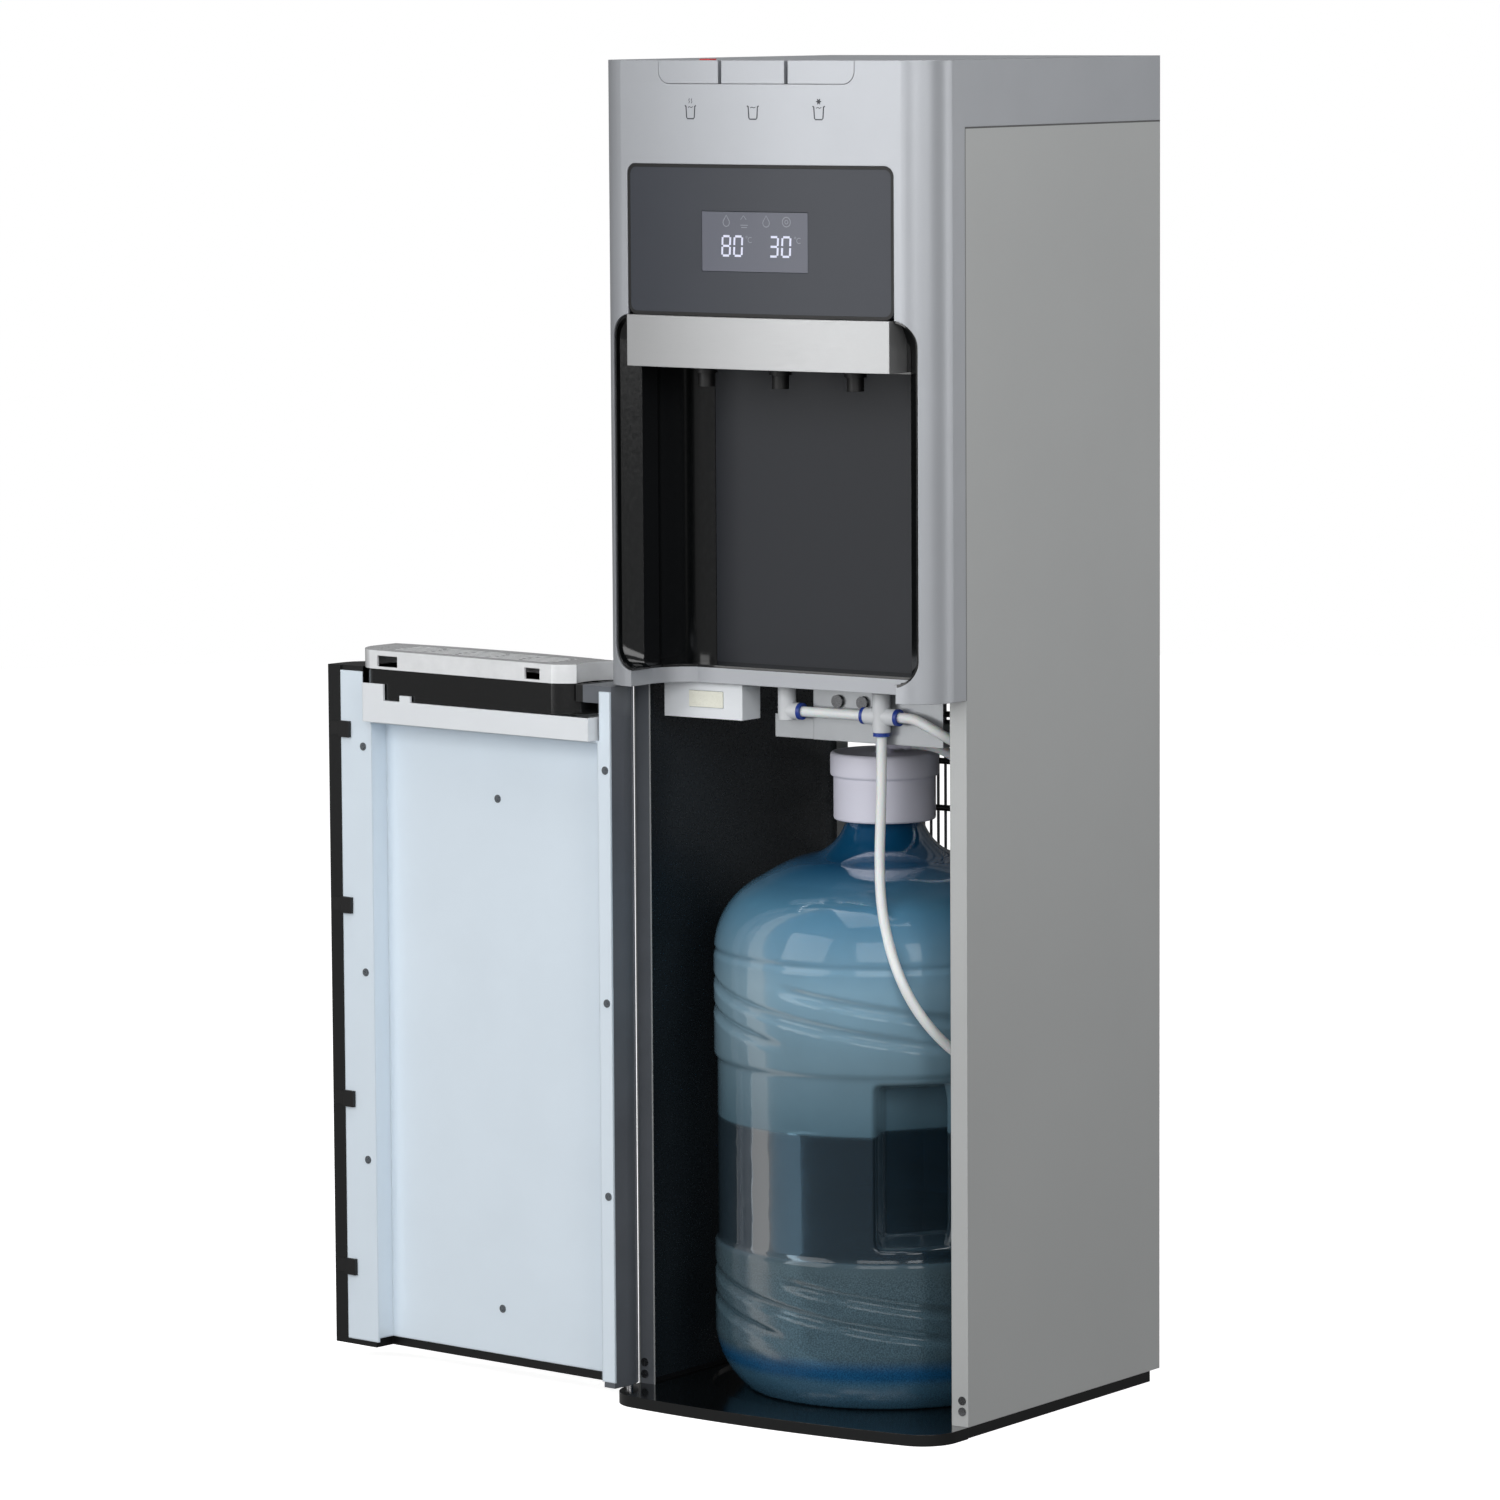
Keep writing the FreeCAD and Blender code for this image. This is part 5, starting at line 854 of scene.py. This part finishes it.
def make_display():
    """The digits, their units, the panel's dark outline and the row of faint symbols."""
    lines = []
    for text, left in NUMBER_PLACES:
        for i, digit in enumerate(text):
            lines += seven_segments(digit, left + DIGIT_PITCH * i, DIGIT_LOW, DIGIT_WIDE,
                                    DIGIT_TALL)
    marks("display_digits", lines, DIGIT_GLOW, WINDOW_INSET)

    units = []
    for left in UNIT_PLACES:
        units.append((circle(left + 0.6, 912.4, 0.7, 12), 0.4, True))
        units.append((circle(left + 4.0, 910.3, 2.0, 14, 50, 310), 0.6, False))
    marks("display_units", units, ICON_FAINT, WINDOW_INSET)

    marks("display_edge", [(panel_outline(), OUTLINE_WIDTH, True)],
          MATERIALS["black_matte"], PANEL_INSET)

    icons = []
    for x in DROP_PLACES:
        drop = circle(x, 923.2, 3.0, 15, -225, 45) + [(x, 928.6)]
        icons.append((drop, 0.7, True))
    icons.append(([(-12, 925.5), (-9.4, 928.5), (-6.8, 925.5)], 0.6, False))
    icons.append(([(-12.2, 921.3), (-5.4, 921.3)], 0.6, False))
    icons.append(([(-11.4, 919.6), (-6.2, 919.6)], 0.6, False))
    icons.append((circle(29.8, 924.2, 3.6), 0.7, True))
    icons.append((circle(29.8, 924.2, 1.4, 14), 0.6, True))
    marks("display_icons", icons, ICON_FAINT, WINDOW_INSET)


make_display()


CUP_PLACES = (-58.6, 0.4, 59.4)
CUP_LOW, CUP_HIGH, CUP_LINE = 1001.0, 1010.6, 0.95


def make_button_marks():
    """A cup under each button: steam on the left, plain in the middle, frost on the right."""
    lines = []
    low, high, width = CUP_LOW, CUP_HIGH, CUP_LINE
    for x in CUP_PLACES:
        cup = [(x - 4.3, high), (x - 3.7, low + 1), (x - 2.9, low), (x + 2.9, low),
               (x + 3.7, low + 1), (x + 4.3, high)]
        lines.append((cup, width, False))
        lines.append(([(x - 5.4, high + 0.4), (x - 3.9, high - 0.6)], width, False))
        lines.append(([(x + 5.4, high + 0.4), (x + 3.9, high - 0.6)], width, False))
        lines.append(([(x - 2.4, high - 1.2), (x - 0.8, high - 0.5), (x + 0.8, high - 1.2),
                       (x + 2.4, high - 0.5)], 0.55, False))
    x = CUP_PLACES[0]
    for shift in (-1.2, 1.2):
        lines.append(([(x + shift - 0.4, high + 2.0), (x + shift + 0.4, high + 3.2),
                       (x + shift - 0.4, high + 4.4), (x + shift + 0.4, high + 5.6)],
                      0.5, False))
    x, z = CUP_PLACES[2], high + 3.8
    for turn in (0, 60, 120):
        dx, dz = 2.3 * math.cos(math.radians(turn)), 2.3 * math.sin(math.radians(turn))
        lines.append(([(x - dx, z - dz), (x + dx, z + dz)], 0.75, False))
    lines.append((circle(x, z, 1.2, 12), 0.6, True))
    marks("button_marks", lines, PRINT_GREY, 0.0, 0.08)


make_button_marks()


# ---------------------------------------------------------------- floor and light
FLOOR_REACH, FLOOR_LEVEL, FLOOR_GLOW = 6.0, -0.0004, 0.85
SKY_FRONT, SKY_BACK = 0.3, 0.1
# Name, place, target, width, height and power of each soft light.
LIGHTS = (("key_front", (-1.25, -3.1, 1.35), (0, -0.15, 0.55), 1.9, 2.4, 42),
          ("front_right", (1.7, -3.3, 1.7), (0, -0.1, 0.5), 1.7, 2.0, 34),
          ("top", (0.3, -0.4, 3.3), (0, 0, 0.5), 2.4, 2.4, 50),
          ("right_side", (3.0, 1.9, 1.3), (0.1, 0, 0.5), 1.4, 2.2, 26),
          ("right_front", (3.4, -2.2, 1.8), (0.1, 0, 0.5), 1.2, 1.8, 26))


def make_floor():
    """A round white table with a glow of its own, which the object doesn't catch."""
    count = 96
    turns = [2 * math.pi * i / count for i in range(count)]
    ring = [(FLOOR_REACH * math.cos(t), FLOOR_REACH * math.sin(t), FLOOR_LEVEL)
            for t in turns]
    data = bpy.data.meshes.new("floor")
    data.from_pydata(ring, [], [tuple(range(count))])
    data.materials.append(finish_material(
        "floor_white", (246, 246, 246), 0.7, mottle=0.006, mottle_scale=1.5, grain=40,
        grain_strength=0.02,
        **{"Emission Color": (1, 1, 1, 1), "Emission Strength": FLOOR_GLOW}))
    floor = bpy.data.objects.new("floor", data)
    floor.visible_diffuse = floor.visible_glossy = False
    bpy.context.scene.collection.objects.link(floor)


def soft_box(name, at, toward, wide, tall, power):
    """A white rectangular light at a place, turned to a target."""
    data = bpy.data.lights.new(name, "AREA")
    data.shape = "RECTANGLE"
    data.size, data.size_y = wide, tall
    data.energy = power
    lamp = bpy.data.objects.new(name, data)
    aim = (Vector(toward) - Vector(at)).normalized()
    turn = aim.to_track_quat("-Z", "Y").to_matrix()
    lamp.matrix_world = Matrix.Translation(at) @ turn.to_4x4()
    bpy.context.scene.collection.objects.link(lamp)


def make_world():
    """A white backdrop behind the object and a grey studio, darker at the back, round it."""
    world = bpy.data.worlds.new("studio")
    world.use_nodes = True
    nodes, links = world.node_tree.nodes, world.node_tree.links
    sky = nodes["Background"]
    sky.inputs["Color"].default_value = (1, 1, 1, 1)
    where = nodes.new("ShaderNodeTexCoord")
    split = nodes.new("ShaderNodeSeparateXYZ")
    level = nodes.new("ShaderNodeMapRange")
    level.inputs["From Min"].default_value = -1
    level.inputs["To Min"].default_value = SKY_FRONT
    level.inputs["To Max"].default_value = SKY_BACK
    links.new(where.outputs["Generated"], split.inputs["Vector"])
    links.new(split.outputs["Y"], level.inputs["Value"])
    links.new(level.outputs["Result"], sky.inputs["Strength"])
    backdrop = nodes.new("ShaderNodeBackground")
    backdrop.inputs["Color"].default_value = (1, 1, 1, 1)
    seen = nodes.new("ShaderNodeLightPath")
    either = nodes.new("ShaderNodeMath")
    either.operation = "MAXIMUM"
    links.new(seen.outputs["Is Camera Ray"], either.inputs[0])
    links.new(seen.outputs["Is Transmission Ray"], either.inputs[1])
    mix = nodes.new("ShaderNodeMixShader")
    links.new(either.outputs["Value"], mix.inputs["Fac"])
    links.new(sky.outputs["Background"], mix.inputs[1])
    links.new(backdrop.outputs["Background"], mix.inputs[2])
    links.new(mix.outputs["Shader"], nodes["World Output"].inputs["Surface"])
    bpy.context.scene.world = world


make_floor()
for light in LIGHTS:
    soft_box(*light)
make_world()
bpy.context.scene.view_settings.view_transform = "Standard"
